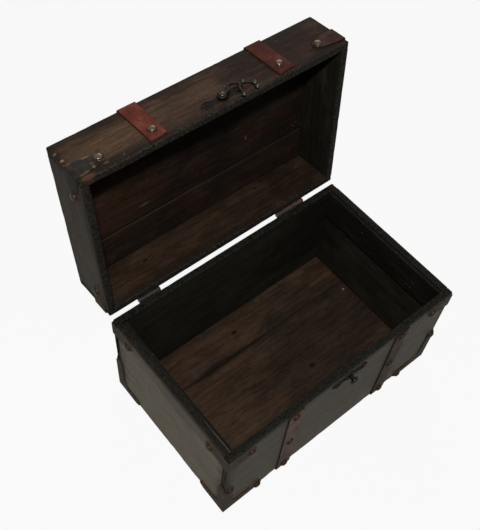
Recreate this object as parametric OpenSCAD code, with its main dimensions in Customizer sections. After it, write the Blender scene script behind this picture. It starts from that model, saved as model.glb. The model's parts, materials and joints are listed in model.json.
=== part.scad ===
// Wooden strong box with a hinged lid, leather straps and corners,
// dome nails, a swinging hook latch and two stop hinges.
// Millimetres, +Z up. Front is -Y. The origin is the middle of the wooden
// underside; the straps pass under it, so the box stands on their soles.
// The lid is drawn open, leaning on its hinge stops.

/* [Box] */
// Length of the box, left to right
box_l = 300; // [270:1:340]
// Depth of the box, front to back
box_w = 185; // [160:1:220]
// Height of the wooden base
base_h = 136; // [115:1:170]
// Height of the wooden lid
lid_h = 54.5; // [50:0.5:75]
// Thickness of the front, back and end walls
wall_t = 7.6; // [6:0.2:10]
// Thickness of the floor boards
floor_t = 7; // [5:0.5:10]
// Thickness of the lid boards
lid_board_t = 7; // [5:0.5:10]
// Width of the back floor board
floor_back_board_w = 46; // [30:1:70]
// Width of the back lid board
lid_back_board_w = 42; // [30:1:70]
// Open joint between two neighbouring boards
board_gap = 0.5; // [0.3:0.1:1.5]
// Gap between the two rims when the lid is shut
rim_gap = 0.9; // [0.5:0.1:1.6]
// How far the lid opens from shut to its stop, in degrees
lid_open_deg = 95.2; // [85:0.1:100]

/* [End battens] */
// Thickness of the batten inside each end of the base
batten_t = 3.5; // [2:0.5:6]
// Height of each batten
batten_h = 40; // [20:1:60]
// Depth of the batten's top edge below the rim
batten_drop = 2; // [1:0.5:6]

/* [Leather] */
// Thickness of the strap leather
strap_t = 1.6; // [1.2:0.1:2.4]
// Width of a strap
strap_w = 19.4; // [14:0.2:24]
// Distance from the left end to the middle of the left straps
strap_left_in = 81; // [70:1:95]
// Distance from the right end to the middle of the right straps
strap_right_in = 75.4; // [66:0.2:90]
// Bare wood between a front strap end and the rim
strap_front_inset = 2.8; // [2:0.2:6]
// Bare wood between a back strap end and the rim
strap_back_inset = 20; // [19:1:26]
// How far each strap end is cut at a slant
strap_slant = 1.6; // [0.4:0.2:4]
// Thickness of the corner leather
corner_t = 1.2; // [0.8:0.1:1.2]
// Height of a wrapped corner tongue at its fold
tongue_h = 19.4; // [14:0.2:22]
// Width of a tongue at its nail
tongue_tip_w = 12; // [10.5:0.5:14]
// Reach of a tongue from the corner to its tip
tongue_reach = 33; // [26:1:42]
// Height of the lid tongues' middle line above the lid rim
lid_tongue_up = 15.4; // [12.5:0.2:20]
// Depth of the base tongues' middle line below the base rim
base_tongue_down = 14; // [12.5:0.5:20]
// Width of each leg of a bottom corner leather
foot_leg_w = 10; // [8:0.5:13]
// Height of a bottom corner leather
foot_rise = 60; // [45:1:70]
// Reach of a bottom corner leather along the front and the back
foot_reach_x = 50; // [36:1:54]
// Reach of a bottom corner leather along the ends
foot_reach_y = 38; // [30:1:50]

/* [Nails] */
// Diameter of a dome nail head
dome_d = 9.4; // [7:0.2:10]
// Height of a dome nail head
dome_h = 3; // [2:0.1:3.6]
// Diameter of a dome nail shank
shank_d = 1.6; // [1.2:0.1:2.2]
// How far a shank goes into the wood
shank_bite = 5; // [3:0.5:5.5]
// Distance from a tip or strap end to its nail
nail_inset = 8; // [6.5:0.5:13]
// Distance from the lid's front strap ends to their nails
lid_nail_inset = 12.6; // [8:0.2:16]
// Diameter of a small pin head on the metal plates
pin_head_d = 3; // [2.4:0.1:3.6]
// Height of a small pin head
pin_head_h = 0.7; // [0.5:0.1:0.8]
// Diameter of a small pin's shank
pin_shank_d = 1.2; // [1:0.1:1.6]
// How far a small pin goes into the wood
pin_bite = 5; // [3:0.5:5.5]

/* [Latch] */
// Middle of the latch plate and its pivot, from the middle of the box
pivot_x = 4; // [-6:0.5:14]
// Height of the pivot above the lid rim
pivot_up = 11; // [10:0.5:14]
// Middle of the keeper plate and its knob, from the middle of the box
knob_x = 2.5; // [-6:0.5:14]
// Depth of the knob below the base rim
knob_down = 12.6; // [11:0.2:14]
// Thickness of the two plates
plate_t = 1; // [0.8:0.1:1.2]
// Distance between the two pins of a plate
plate_pin_pitch = 33; // [30:1:38]
// Radius of a plate's end lobes
plate_lobe_r = 4.6; // [4:0.2:5.4]
// Radius of a plate's middle lobe
plate_middle_r = 6.2; // [5.6:0.2:7]
// Height of a plate's bar between its lobes
plate_bar_h = 5.6; // [4:0.2:7]
// Radius of the round finial at each end of a plate
finial_r = 1.7; // [1.2:0.1:2.2]
// Thickness of the swinging hook
hook_t = 2.2; // [1.8:0.1:2.6]
// Width of the hook's bar
hook_bar = 3.2; // [2.6:0.1:3.6]
// Extra reach of the hook past the knob
hook_slack = 1; // [0.5:0.1:1.6]
// Radius of the hook's open mouth
mouth_r = 5.6; // [5:0.1:6]
// Radius of the hook's eye around the pivot
eye_r = 4.6; // [4:0.1:5]
// Swing of the hook from hanging straight down to its parked place, in degrees
hook_swing_deg = 82; // [60:1:90]
// Radius of the knob's neck
knob_neck_r = 2.1; // [1.8:0.1:2.4]
// Radius of the knob's head
knob_head_r = 4.4; // [4:0.1:4.8]
// Height of the knob's head
knob_head_h = 3.4; // [2.8:0.1:4.4]
// Radius of the pivot rivet's stem
rivet_r = 1.6; // [1.3:0.1:1.8]
// Radius of the pivot rivet's domed head
rivet_head_r = 3.4; // [3:0.1:3.8]
// Height of the pivot rivet's domed head
rivet_head_h = 2; // [1.4:0.1:2.4]

/* [Hinges] */
// Width of the left hinge
left_hinge_w = 26; // [22:1:32]
// Bare wood between the left hinge and the tip of the tongue beside it
left_hinge_gap = 0.5; // [0.5:0.5:8]
// Width of the right hinge
right_hinge_w = 38; // [32:1:40]
// Bare wood between the right hinge and the tip of the tongue beside it
right_hinge_gap = 12; // [0.5:0.5:16]
// Distance from the back of the box to the hinge axis
hinge_back = 2.5; // [2.5:0.1:3]
// Radius of a hinge barrel
barrel_r = 2.3; // [2:0.1:2.3]
// Thickness of a hinge leaf
leaf_t = 1.2; // [1:0.1:1.3]
// Height of a hinge leaf
leaf_h = 15; // [12:0.5:16]
// Radius of a hinge pin
hinge_pin_r = 1.1; // [0.9:0.05:1.2]
// Length of the stop tab below the barrel when the lid is open
stop_l = 6; // [5:0.5:7]

/* [Fits] */
// Side gap between neighbouring knuckles
knuckle_gap = 0.3; // [0.2:0.05:0.5]
// Radial clearance of a pin or shank in its hole
hole_fit = 0.05; // [0.03:0.01:0.1]
// Gap between the hook and the pieces before and behind it
hook_gap = 0.3; // [0.2:0.05:0.5]
// Gap between the stop tab and the base leaf
stop_gap = 0.06; // [0.04:0.01:0.1]

/* [Hidden] */
$fn = 48;

wood = "#4a3328";
dark_wood = "#3a2a22";
leather = "#5c3026";
worn_leather = "#7a5238";
silver_brass = "#a89f88";
bronze = "#4d463a";

// Levels and faces
under_z = 0;                        // underside of the wood
rim_z = under_z + base_h;           // base rim
front_y = -box_w / 2;
back_y = box_w / 2;
end_x = box_l / 2;
inner_l = box_l - 2 * wall_t;
inner_w = box_w - 2 * wall_t;
lid_z = rim_z + rim_gap;            // lid rim, lid shut
top_z = lid_z + lid_h;              // top of the lid, lid shut
axis_y = back_y + hinge_back;
axis_z = rim_z + rim_gap / 2;

sides = [-1, 1];
left_n = 3;                         // knuckles of the left hinge
right_n = 5;                        // knuckles of the right hinge
strap_left_x = strap_left_in - end_x;
strap_right_x = end_x - strap_right_in;
strap_xs = [strap_left_x, strap_right_x];
left_hinge_x = tongue_reach + left_hinge_gap + left_hinge_w / 2 - end_x;
right_hinge_x = end_x - tongue_reach - right_hinge_gap - right_hinge_w / 2;

// Fastener places: [point, outward direction] with the lid shut
base_strap_front_zs = [
  rim_z - strap_front_inset - nail_inset,
  (rim_z - strap_front_inset + under_z) / 2,
  under_z + nail_inset
];
base_strap_back_zs = [rim_z - strap_back_inset - nail_inset, under_z + nail_inset];
tongue_nail = tongue_reach - nail_inset + 2;
base_tongue_z = rim_z - base_tongue_down;
lid_tongue_z = lid_z + lid_tongue_up;
foot_nail_x = foot_reach_x - nail_inset + 2;
foot_nail_z = foot_rise - nail_inset + 2;

pin_xs = [-plate_pin_pitch / 2, plate_pin_pitch / 2];
pivot_z = lid_z + pivot_up;
knob_z = rim_z - knob_down;
hook_back = plate_t + pin_head_h + hook_gap;       // wood face to the hook's back
hook_face = hook_back + hook_t;
knob_reach = norm([knob_x - pivot_x, knob_z - pivot_z]);
hook_reach = knob_reach + hook_slack;
knob_dir = atan2(knob_z - pivot_z, knob_x - pivot_x);
ring_r = mouth_r + hook_bar / 2;                   // middle line of the mouth ring
arch_r = 6.2;                                      // middle line of the hook's arch
arch_back = 10.9;                                  // the arch's centre, back from the mouth's
arch_up = 5.3;                                     // and above it
lip_r = 2.2;                                       // round bead on the lower jaw
lip_crown = 1.5;
lip_back = 8.1;
lip_down = 8.3;
upper_tip = -25;                                   // where the mouth ring ends, in degrees
scallop_r = 1.7;                                   // notches in a plate's edges
scallop_out = 0.9;                                 // a notch's centre, out from the bar's edge
head_seat = 0.4;                                   // a shank's run into its head
head_spare = 0.3;                                  // depth left under a shank's tip
hole_run = 4;                                      // a cut's run past the face that it starts from

// The three or five knuckles of a hinge, as [start, end] from its left side
function knuckle_span(w, n, i) =
  [i * w / n + (i > 0 ? knuckle_gap / 2 : 0), (i + 1) * w / n - (i < n - 1 ? knuckle_gap / 2 : 0)];
function hinge_pin_xs(w) = w > 32 ? [-w / 3, 0, w / 3] : [-w / 4, w / 4];

// ---- placing -------------------------------------------------------------

// Swings shut-lid geometry open about the hinge axis
module lid_open() {
  translate([0, axis_y, axis_z]) rotate([-lid_open_deg, 0, 0]) translate([0, -axis_y, -axis_z]) children();
}

// Puts +Z geometry on a wall: the wall is named by its outward direction
module on_wall(x, y, z, dir) {
  translate([x, y, z])
    rotate(dir == "front" ? [90, 0, 0] : dir == "back" ? [-90, 0, 0] : dir == "left" ? [0, -90, 0] : [0, 90, 0])
      children();
}

// ---- fasteners -------------------------------------------------------------

// A domed head whose rim sits at z = 0
module dome(d, h) {
  ball_r = (d * d / 4 + h * h) / (2 * h);
  intersection() {
    translate([0, 0, h - ball_r]) sphere(r = ball_r);
    cylinder(d = d, h = h + 1);
  }
}

module dome_nail(lift) {
  translate([0, 0, lift]) dome(dome_d, dome_h);
  translate([0, 0, -shank_bite]) cylinder(d = shank_d, h = shank_bite + lift + head_seat);
}

module small_pin(lift) {
  translate([0, 0, lift]) dome(pin_head_d, pin_head_h);
  translate([0, 0, -pin_bite]) cylinder(d = pin_shank_d, h = pin_bite + lift + head_seat / 2);
}

module nail_hole() {
  translate([0, 0, -shank_bite - head_spare]) cylinder(d = shank_d + 2 * hole_fit, h = shank_bite + hole_run);
}

module pin_hole() {
  translate([0, 0, -pin_bite - head_spare]) cylinder(d = pin_shank_d + 2 * hole_fit, h = pin_bite + hole_run);
}

// Hole for a stem of radius r, as deep as a pin's
module stem_hole(r) {
  translate([0, 0, -pin_bite - head_spare]) cylinder(r = r + hole_fit, h = pin_bite + hole_run);
}

module at_base_strap_nails() {
  for (x = strap_xs) {
    for (z = base_strap_front_zs) on_wall(x, front_y, z, "front") children();
    for (z = base_strap_back_zs) on_wall(x, back_y, z, "back") children();
  }
}

module at_lid_strap_nails() {
  for (x = strap_xs) {
    on_wall(x, front_y, lid_z + strap_front_inset + lid_nail_inset, "front") children();
    on_wall(x, back_y, lid_z + strap_back_inset + nail_inset, "back") children();
  }
}

module at_tongue_nails(z) {
  for (s = sides) {
    on_wall(s * (end_x - tongue_nail), front_y, z, "front") children();
    on_wall(s * (end_x - tongue_nail), back_y, z, "back") children();
  }
}

module at_tongue_end_nails(z) {
  for (s = sides) {
    on_wall(-end_x, s * (back_y - tongue_nail), z, "left") children();
    on_wall(end_x, s * (back_y - tongue_nail), z, "right") children();
  }
}

module at_foot_nails() {
  for (s = sides) {
    on_wall(s * (end_x - foot_nail_x), front_y, under_z + foot_leg_w / 2, "front") children();
    on_wall(s * (end_x - foot_nail_x), back_y, under_z + foot_leg_w / 2, "back") children();
    on_wall(s * (end_x - foot_leg_w / 2), front_y, under_z + foot_nail_z, "front") children();
    on_wall(s * (end_x - foot_leg_w / 2), back_y, under_z + foot_nail_z, "back") children();
  }
}

module at_plate_pins(x, z) {
  for (dx = pin_xs) on_wall(x + dx, front_y, z, "front") children();
}

module at_hinge_pins(up) {
  z = axis_z + up * leaf_h * 0.6;
  for (dx = hinge_pin_xs(left_hinge_w)) on_wall(left_hinge_x + dx, back_y, z, "back") children();
  for (dx = hinge_pin_xs(right_hinge_w)) on_wall(right_hinge_x + dx, back_y, z, "back") children();
}

// ---- boards ------------------------------------------------------------------

module board(x0, x1, y0, y1, z0, z1) {
  translate([x0, y0, z0]) cube([x1 - x0, y1 - y0, z1 - z0]);
}

module base_holes() {
  at_base_strap_nails() nail_hole();
  at_tongue_nails(base_tongue_z) nail_hole();
  at_tongue_end_nails(base_tongue_z) nail_hole();
  at_foot_nails() nail_hole();
  at_plate_pins(knob_x, knob_z) pin_hole();
  on_wall(knob_x, front_y, knob_z, "front") stem_hole(knob_neck_r);
  at_hinge_pins(-1) pin_hole();
}

module lid_holes() {
  at_lid_strap_nails() nail_hole();
  at_tongue_nails(lid_tongue_z) nail_hole();
  at_tongue_end_nails(lid_tongue_z) nail_hole();
  at_plate_pins(pivot_x, pivot_z) pin_hole();
  on_wall(pivot_x, front_y, pivot_z, "front") stem_hole(rivet_r);
  at_hinge_pins(1) pin_hole();
}

module base_front_wall() {
  color(wood) difference() {
    board(-end_x, end_x, front_y, front_y + wall_t, under_z, rim_z);
    base_holes();
  }
}

module base_back_wall() {
  color(wood) difference() {
    board(-end_x, end_x, back_y - wall_t, back_y, under_z, rim_z);
    base_holes();
  }
}

module base_end_wall(s) {
  color(wood) difference() {
    translate([s * (end_x - wall_t / 2), 0, under_z + base_h / 2]) cube([wall_t, inner_w, base_h], center = true);
    base_holes();
  }
}

module floor_board_front() {
  color(dark_wood)
    board(-inner_l / 2, inner_l / 2, -inner_w / 2, inner_w / 2 - floor_back_board_w - board_gap, under_z, under_z + floor_t);
}

module floor_board_back() {
  color(dark_wood)
    board(-inner_l / 2, inner_l / 2, inner_w / 2 - floor_back_board_w, inner_w / 2, under_z, under_z + floor_t);
}

module end_batten(s) {
  color(dark_wood)
    translate([s * (inner_l - batten_t) / 2, 0, rim_z - batten_drop - batten_h / 2])
      cube([batten_t, inner_w, batten_h], center = true);
}

module lid_front_wall() {
  color(wood) lid_open() difference() {
    board(-end_x, end_x, front_y, front_y + wall_t, lid_z, top_z);
    lid_holes();
  }
}

module lid_back_wall() {
  color(wood) lid_open() difference() {
    board(-end_x, end_x, back_y - wall_t, back_y, lid_z, top_z);
    lid_holes();
  }
}

module lid_end_wall(s) {
  color(wood) lid_open() difference() {
    translate([s * (end_x - wall_t / 2), 0, lid_z + lid_h / 2]) cube([wall_t, inner_w, lid_h], center = true);
    lid_holes();
  }
}

module lid_board_front() {
  color(dark_wood) lid_open()
    board(-inner_l / 2, inner_l / 2, -inner_w / 2, inner_w / 2 - lid_back_board_w - board_gap, top_z - lid_board_t, top_z);
}

module lid_board_back() {
  color(dark_wood) lid_open()
    board(-inner_l / 2, inner_l / 2, inner_w / 2 - lid_back_board_w, inner_w / 2, top_z - lid_board_t, top_z);
}

// ---- leather -----------------------------------------------------------------

// The slanted end of a strap, removed from its square end; up is +1 or -1
module slant_cut(z_end, up) {
  side = strap_w / 2 + 1;
  rotate([90, 0, 0]) linear_extrude(height = 3 * box_w, center = true)
    polygon([[-side, z_end + up], [side, z_end + up], [side, z_end - up * strap_slant], [-side, z_end]]);
}

module base_strap(x) {
  color(leather) difference() {
    translate([x, 0, 0]) difference() {
      union() {
        board(-strap_w / 2, strap_w / 2, front_y - strap_t, front_y, under_z - strap_t, rim_z - strap_front_inset);
        board(-strap_w / 2, strap_w / 2, back_y, back_y + strap_t, under_z - strap_t, rim_z - strap_back_inset);
        board(-strap_w / 2, strap_w / 2, front_y - strap_t, back_y + strap_t, under_z - strap_t, under_z);
      }
      intersection() {
        slant_cut(rim_z - strap_front_inset, 1);
        board(-strap_w, strap_w, -box_w, 0, 0, 2 * rim_z);
      }
    }
    at_base_strap_nails() nail_hole();
  }
}

module lid_strap(x) {
  color(leather) lid_open() difference() {
    translate([x, 0, 0]) difference() {
      union() {
        board(-strap_w / 2, strap_w / 2, front_y - strap_t, front_y, lid_z + strap_front_inset, top_z + strap_t);
        board(-strap_w / 2, strap_w / 2, back_y, back_y + strap_t, lid_z + strap_back_inset, top_z + strap_t);
        board(-strap_w / 2, strap_w / 2, front_y - strap_t, back_y + strap_t, top_z, top_z + strap_t);
      }
      intersection() {
        slant_cut(lid_z + strap_front_inset, -1);
        board(-strap_w, strap_w, -box_w, 0, 0, 2 * rim_z);
      }
    }
    at_lid_strap_nails() nail_hole();
  }
}

// One leg of a corner tongue, lying along +X from the fold, with a rounded tip
module tongue_profile() {
  tip_r = tongue_tip_w / 2;
  polygon([
    [-corner_t, -tongue_h / 2], [wall_t, -tongue_h / 2], [tongue_reach - tip_r, -tip_r],
    [tongue_reach - tip_r, tip_r], [wall_t, tongue_h / 2], [-corner_t, tongue_h / 2]
  ]);
  translate([tongue_reach - tip_r, 0]) circle(r = tip_r);
}

// A tongue folded round the front left corner; z is its middle line
module tongue_front_left(z) {
  translate([-end_x, front_y, z]) {
    rotate([90, 0, 0]) linear_extrude(height = corner_t) tongue_profile();
    rotate([90, 0, 90]) translate([0, 0, -corner_t]) linear_extrude(height = corner_t) tongue_profile();
  }
}

// Mirrors front left geometry to the corner on side sx, depth side sy
module at_corner(sx, sy) {
  mirror([sx > 0 ? 1 : 0, 0, 0]) mirror([0, sy > 0 ? 1 : 0, 0]) children();
}

module base_tongue(sx, sy) {
  color(worn_leather) difference() {
    at_corner(sx, sy) tongue_front_left(base_tongue_z);
    at_tongue_nails(base_tongue_z) nail_hole();
    at_tongue_end_nails(base_tongue_z) nail_hole();
  }
}

module lid_tongue(sx, sy) {
  color(worn_leather) lid_open() difference() {
    at_corner(sx, sy) tongue_front_left(lid_tongue_z);
    at_tongue_nails(lid_tongue_z) nail_hole();
    at_tongue_end_nails(lid_tongue_z) nail_hole();
  }
}

// An L of two legs with rounded tips, corner at the origin, legs along +X and +Y
module foot_profile(reach_a, reach_b) {
  tip_r = foot_leg_w / 2;
  translate([-corner_t, -corner_t]) {
    square([reach_a - tip_r + corner_t, foot_leg_w + corner_t]);
    square([foot_leg_w + corner_t, reach_b - tip_r + corner_t]);
  }
  translate([reach_a - tip_r, tip_r]) circle(r = tip_r);
  translate([tip_r, reach_b - tip_r]) circle(r = tip_r);
  // Concave web in the inner corner
  difference() {
    square(foot_leg_w * 2);
    translate([foot_leg_w * 2, foot_leg_w * 2]) circle(r = foot_leg_w);
  }
}

module foot_front_left() {
  translate([-end_x, front_y, under_z]) {
    rotate([90, 0, 0]) linear_extrude(height = corner_t) foot_profile(foot_reach_x, foot_rise);
    rotate([0, -90, 0]) linear_extrude(height = corner_t) foot_profile(foot_rise, foot_reach_y);
    translate([0, 0, -corner_t]) linear_extrude(height = corner_t) foot_profile(foot_reach_x, foot_reach_y);
  }
}

module foot_leather(sx, sy) {
  color(worn_leather) difference() {
    at_corner(sx, sy) foot_front_left();
    at_foot_nails() nail_hole();
  }
}

// ---- latch ---------------------------------------------------------------------

module plate_profile() {
  half = plate_pin_pitch / 2;
  difference() {
    union() {
      circle(r = plate_middle_r);
      square([plate_pin_pitch, plate_bar_h], center = true);
      for (s = sides) {
        translate([s * half, 0]) circle(r = plate_lobe_r);
        translate([s * (half + plate_lobe_r + finial_r * 0.6), 0]) circle(r = finial_r);
      }
    }
    // Scallops that leave a waist on each side of the middle lobe
    for (s = sides, t = sides)
      translate([s * (plate_middle_r + half - plate_lobe_r) / 2, t * (plate_bar_h / 2 + scallop_out)])
        circle(r = scallop_r);
  }
}

module keeper_plate() {
  color(bronze) difference() {
    on_wall(knob_x, front_y, knob_z, "front") difference() {
      linear_extrude(height = plate_t) plate_profile();
      stem_hole(knob_neck_r);
    }
    at_plate_pins(knob_x, knob_z) pin_hole();
  }
}

// Mushroom knob: stem in the wood, neck past the hook and a domed head
module keeper_knob() {
  neck_top = hook_face + lip_crown + hook_gap;
  brim = 1;
  color(bronze) on_wall(knob_x, front_y, knob_z, "front")
    rotate_extrude() {
      translate([0, -pin_bite]) square([knob_neck_r, pin_bite + neck_top + brim]);
      translate([0, neck_top]) square([knob_head_r, brim]);
      intersection() {
        translate([0, neck_top + brim]) circle(r = knob_head_r);
        translate([0, neck_top + brim]) square([knob_head_r, knob_head_h - brim]);
      }
    }
}

module latch_plate() {
  color(bronze) lid_open() difference() {
    on_wall(pivot_x, front_y, pivot_z, "front") difference() {
      union() {
        linear_extrude(height = plate_t) plate_profile();
        cylinder(r = rivet_head_r, h = hook_back - hook_gap / 2);
      }
      stem_hole(rivet_r);
    }
    at_plate_pins(pivot_x, pivot_z) pin_hole();
  }
}

module latch_rivet() {
  color(bronze) lid_open() on_wall(pivot_x, front_y, pivot_z, "front") {
    translate([0, 0, -pin_bite]) cylinder(r = rivet_r, h = pin_bite + hook_face + hook_gap / 2 + head_seat);
    translate([0, 0, hook_face + hook_gap / 2]) dome(2 * rivet_head_r, rivet_head_h);
  }
}

// Outline of a bar bent on a circle: radius of its middle line, from one angle to another
module bent_bar(r, from, to) {
  far = 3 * r;
  difference() {
    circle(r = r + hook_bar / 2);
    circle(r = r - hook_bar / 2);
    // What lies outside the sweep, as a fan of three triangles
    for (i = [0 : 2]) {
      a = to + i * (360 + from - to) / 3;
      b = to + (i + 1) * (360 + from - to) / 3;
      polygon([[0, 0], far * [cos(a), sin(a)], far * [cos(b), sin(b)]]);
    }
  }
}

// Outline of a straight bar whose round ends stand a little proud, like knuckles
module straight_bar(a, b, w) {
  knuckle_r = w * 0.58;
  translate(a) rotate(atan2(b[1] - a[1], b[0] - a[0])) translate([0, -w / 2]) square([norm(b - a), w]);
  translate(a) circle(r = knuckle_r);
  translate(b) circle(r = knuckle_r);
}

// A point on the mouth ring, or past it by some distance, at an angle
function ring_point(angle, past = 0) = [hook_reach, 0] + (ring_r + past) * [cos(angle), sin(angle)];

// Beads of the hook: [place, radius, crown]; lower lip, upper lip, tail and crest
function hook_beads() = [
  [[hook_reach - lip_back, -lip_down], lip_r, lip_crown],
  [ring_point(upper_tip, past = 1.6), 2.3, 0.9],
  [ring_point(12, past = 1.2), 2.7, 2],
  [ring_point(93, past = 0.9), 2.1, 1.4]
];

// The hook lies along +X from its pivot at the origin; its mouth opens to -Y
module hook_profile() {
  arch = [hook_reach - arch_back, arch_up];
  arch_start = 190;
  jaw_start = 195;
  circle(r = eye_r);
  straight_bar([0, 0], arch + arch_r * [cos(arch_start), sin(arch_start)], hook_bar);
  translate(arch) bent_bar(arch_r, -10, arch_start);
  translate([hook_reach, 0]) bent_bar(ring_r, upper_tip, jaw_start);
  straight_bar(ring_point(jaw_start), hook_beads()[0][0], hook_bar * 0.8);
  for (b = hook_beads()) translate(b[0]) circle(r = b[1]);
}

module hook_body() {
  crown_sink = 0.4;
  linear_extrude(height = hook_t) hook_profile();
  for (b = hook_beads())
    translate([b[0][0], b[0][1], hook_t - crown_sink]) dome(1.8 * b[1], b[2] + crown_sink);
}

module latch_hook() {
  color(bronze) lid_open() on_wall(pivot_x, front_y, pivot_z, "front")
    translate([0, 0, hook_back]) rotate([0, 0, knob_dir + hook_swing_deg])
      difference() {
        hook_body();
        stem_hole(rivet_r);
      }
}

// ---- hinges --------------------------------------------------------------------

// Leaf on the back of the box, lid shut: up is -1 for the base leaf, +1 for the
// lid leaf; first is the index of its first knuckle
module hinge_leaf(w, n, up, first) {
  difference() {
    union() {
      translate([-w / 2, back_y, up > 0 ? axis_z + knuckle_gap / 2 : axis_z - knuckle_gap / 2 - leaf_h])
        cube([w, leaf_t, leaf_h]);
      for (i = [first : 2 : n - 1]) {
        span = knuckle_span(w, n, i);
        translate([span[0] - w / 2, axis_y, axis_z]) rotate([0, 90, 0]) cylinder(r = barrel_r, h = span[1] - span[0]);
      }
    }
    // Room for the other leaf's knuckles
    for (i = [1 - first : 2 : n - 1]) {
      x0 = i * w / n - (i > 0 ? knuckle_gap / 2 : 1);
      x1 = (i + 1) * w / n + (i < n - 1 ? knuckle_gap / 2 : 1);
      translate([x0 - w / 2, axis_y, axis_z]) rotate([0, 90, 0]) cylinder(r = barrel_r + knuckle_gap, h = x1 - x0);
    }
    translate([-w, axis_y, axis_z]) rotate([0, 90, 0]) cylinder(r = hinge_pin_r + hole_fit, h = 2 * w);
  }
}

// Tab on a lid knuckle that meets the base leaf when the lid is open
module stop_tab(w, n, i) {
  span = knuckle_span(w, n, i);
  face_y = back_y + leaf_t + stop_gap;
  pin_wall = 0.3;  // metal left over the pin's hole
  translate([span[0] - w / 2, face_y, axis_z - stop_l])
    cube([span[1] - span[0], axis_y - face_y, stop_l - hinge_pin_r - pin_wall]);
}

module hinge_base_leaf(x, w, n) {
  color(bronze) difference() {
    translate([x, 0, 0]) hinge_leaf(w, n, -1, 0);
    at_hinge_pins(-1) pin_hole();
  }
}

module hinge_lid_leaf(x, w, n) {
  color(bronze) union() {
    lid_open() difference() {
      translate([x, 0, 0]) hinge_leaf(w, n, 1, 1);
      at_hinge_pins(1) pin_hole();
    }
    for (i = [1 : 2 : n - 1]) translate([x, 0, 0]) stop_tab(w, n, i);
  }
}

module hinge_pin(x, w) {
  color(silver_brass) translate([x - w / 2, axis_y, axis_z]) rotate([0, 90, 0]) cylinder(r = hinge_pin_r, h = w);
}

// ---- nodes ---------------------------------------------------------------------

base_front_wall();
base_back_wall();
base_end_wall(-1);  // base_left_wall
base_end_wall(1);  // base_right_wall
floor_board_front();
floor_board_back();
end_batten(-1);  // left_batten
end_batten(1);  // right_batten
base_strap(strap_left_x);  // base_strap_left
base_strap(strap_right_x);  // base_strap_right
base_tongue(-1, -1);  // base_tongue_front_left
base_tongue(1, -1);  // base_tongue_front_right
base_tongue(-1, 1);  // base_tongue_back_left
base_tongue(1, 1);  // base_tongue_back_right
foot_leather(-1, -1);  // foot_leather_front_left
foot_leather(1, -1);  // foot_leather_front_right
foot_leather(-1, 1);  // foot_leather_back_left
foot_leather(1, 1);  // foot_leather_back_right
color(silver_brass) at_base_strap_nails() dome_nail(strap_t);  // base_strap_nails
color(silver_brass) {  // base_tongue_nails
  at_tongue_nails(base_tongue_z) dome_nail(corner_t);
  at_tongue_end_nails(base_tongue_z) dome_nail(corner_t);
}
color(silver_brass) at_foot_nails() dome_nail(corner_t);  // foot_leather_nails
keeper_plate();
keeper_knob();
color(bronze) at_plate_pins(knob_x, knob_z) small_pin(plate_t);  // keeper_pins
hinge_base_leaf(left_hinge_x, left_hinge_w, left_n);  // left_hinge_base_leaf
hinge_pin(left_hinge_x, left_hinge_w);  // left_hinge_pin
hinge_base_leaf(right_hinge_x, right_hinge_w, right_n);  // right_hinge_base_leaf
hinge_pin(right_hinge_x, right_hinge_w);  // right_hinge_pin
color(bronze) at_hinge_pins(-1) small_pin(leaf_t);  // hinge_base_pins
lid_front_wall();
lid_back_wall();
lid_end_wall(-1);  // lid_left_wall
lid_end_wall(1);  // lid_right_wall
lid_board_front();
lid_board_back();
lid_strap(strap_left_x);  // lid_strap_left
lid_strap(strap_right_x);  // lid_strap_right
lid_tongue(-1, -1);  // lid_tongue_front_left
lid_tongue(1, -1);  // lid_tongue_front_right
lid_tongue(-1, 1);  // lid_tongue_back_left
lid_tongue(1, 1);  // lid_tongue_back_right
color(silver_brass) lid_open() at_lid_strap_nails() dome_nail(strap_t);  // lid_strap_nails
color(silver_brass) lid_open() {  // lid_tongue_nails
  at_tongue_nails(lid_tongue_z) dome_nail(corner_t);
  at_tongue_end_nails(lid_tongue_z) dome_nail(corner_t);
}
hinge_lid_leaf(left_hinge_x, left_hinge_w, left_n);  // left_hinge_lid_leaf
hinge_lid_leaf(right_hinge_x, right_hinge_w, right_n);  // right_hinge_lid_leaf
color(bronze) lid_open() at_hinge_pins(1) small_pin(leaf_t);  // hinge_lid_pins
latch_plate();
latch_rivet();
color(bronze) lid_open() at_plate_pins(pivot_x, pivot_z) small_pin(plate_t);  // latch_pins
latch_hook();
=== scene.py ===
"""Dark wooden strong box, lid open: worn boards, leather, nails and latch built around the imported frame.

Metres, +Z up, the front at -Y. The lid's pieces are modelled with the lid shut, where the box is square,
and their objects carry the turn that opens them about the hinge axis.
"""

import json
import logging
import math
import random
from dataclasses import dataclass, field
from enum import Enum
from typing import Callable, Sequence

import bmesh
import bpy
from mathutils import Matrix, Vector, noise


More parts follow.
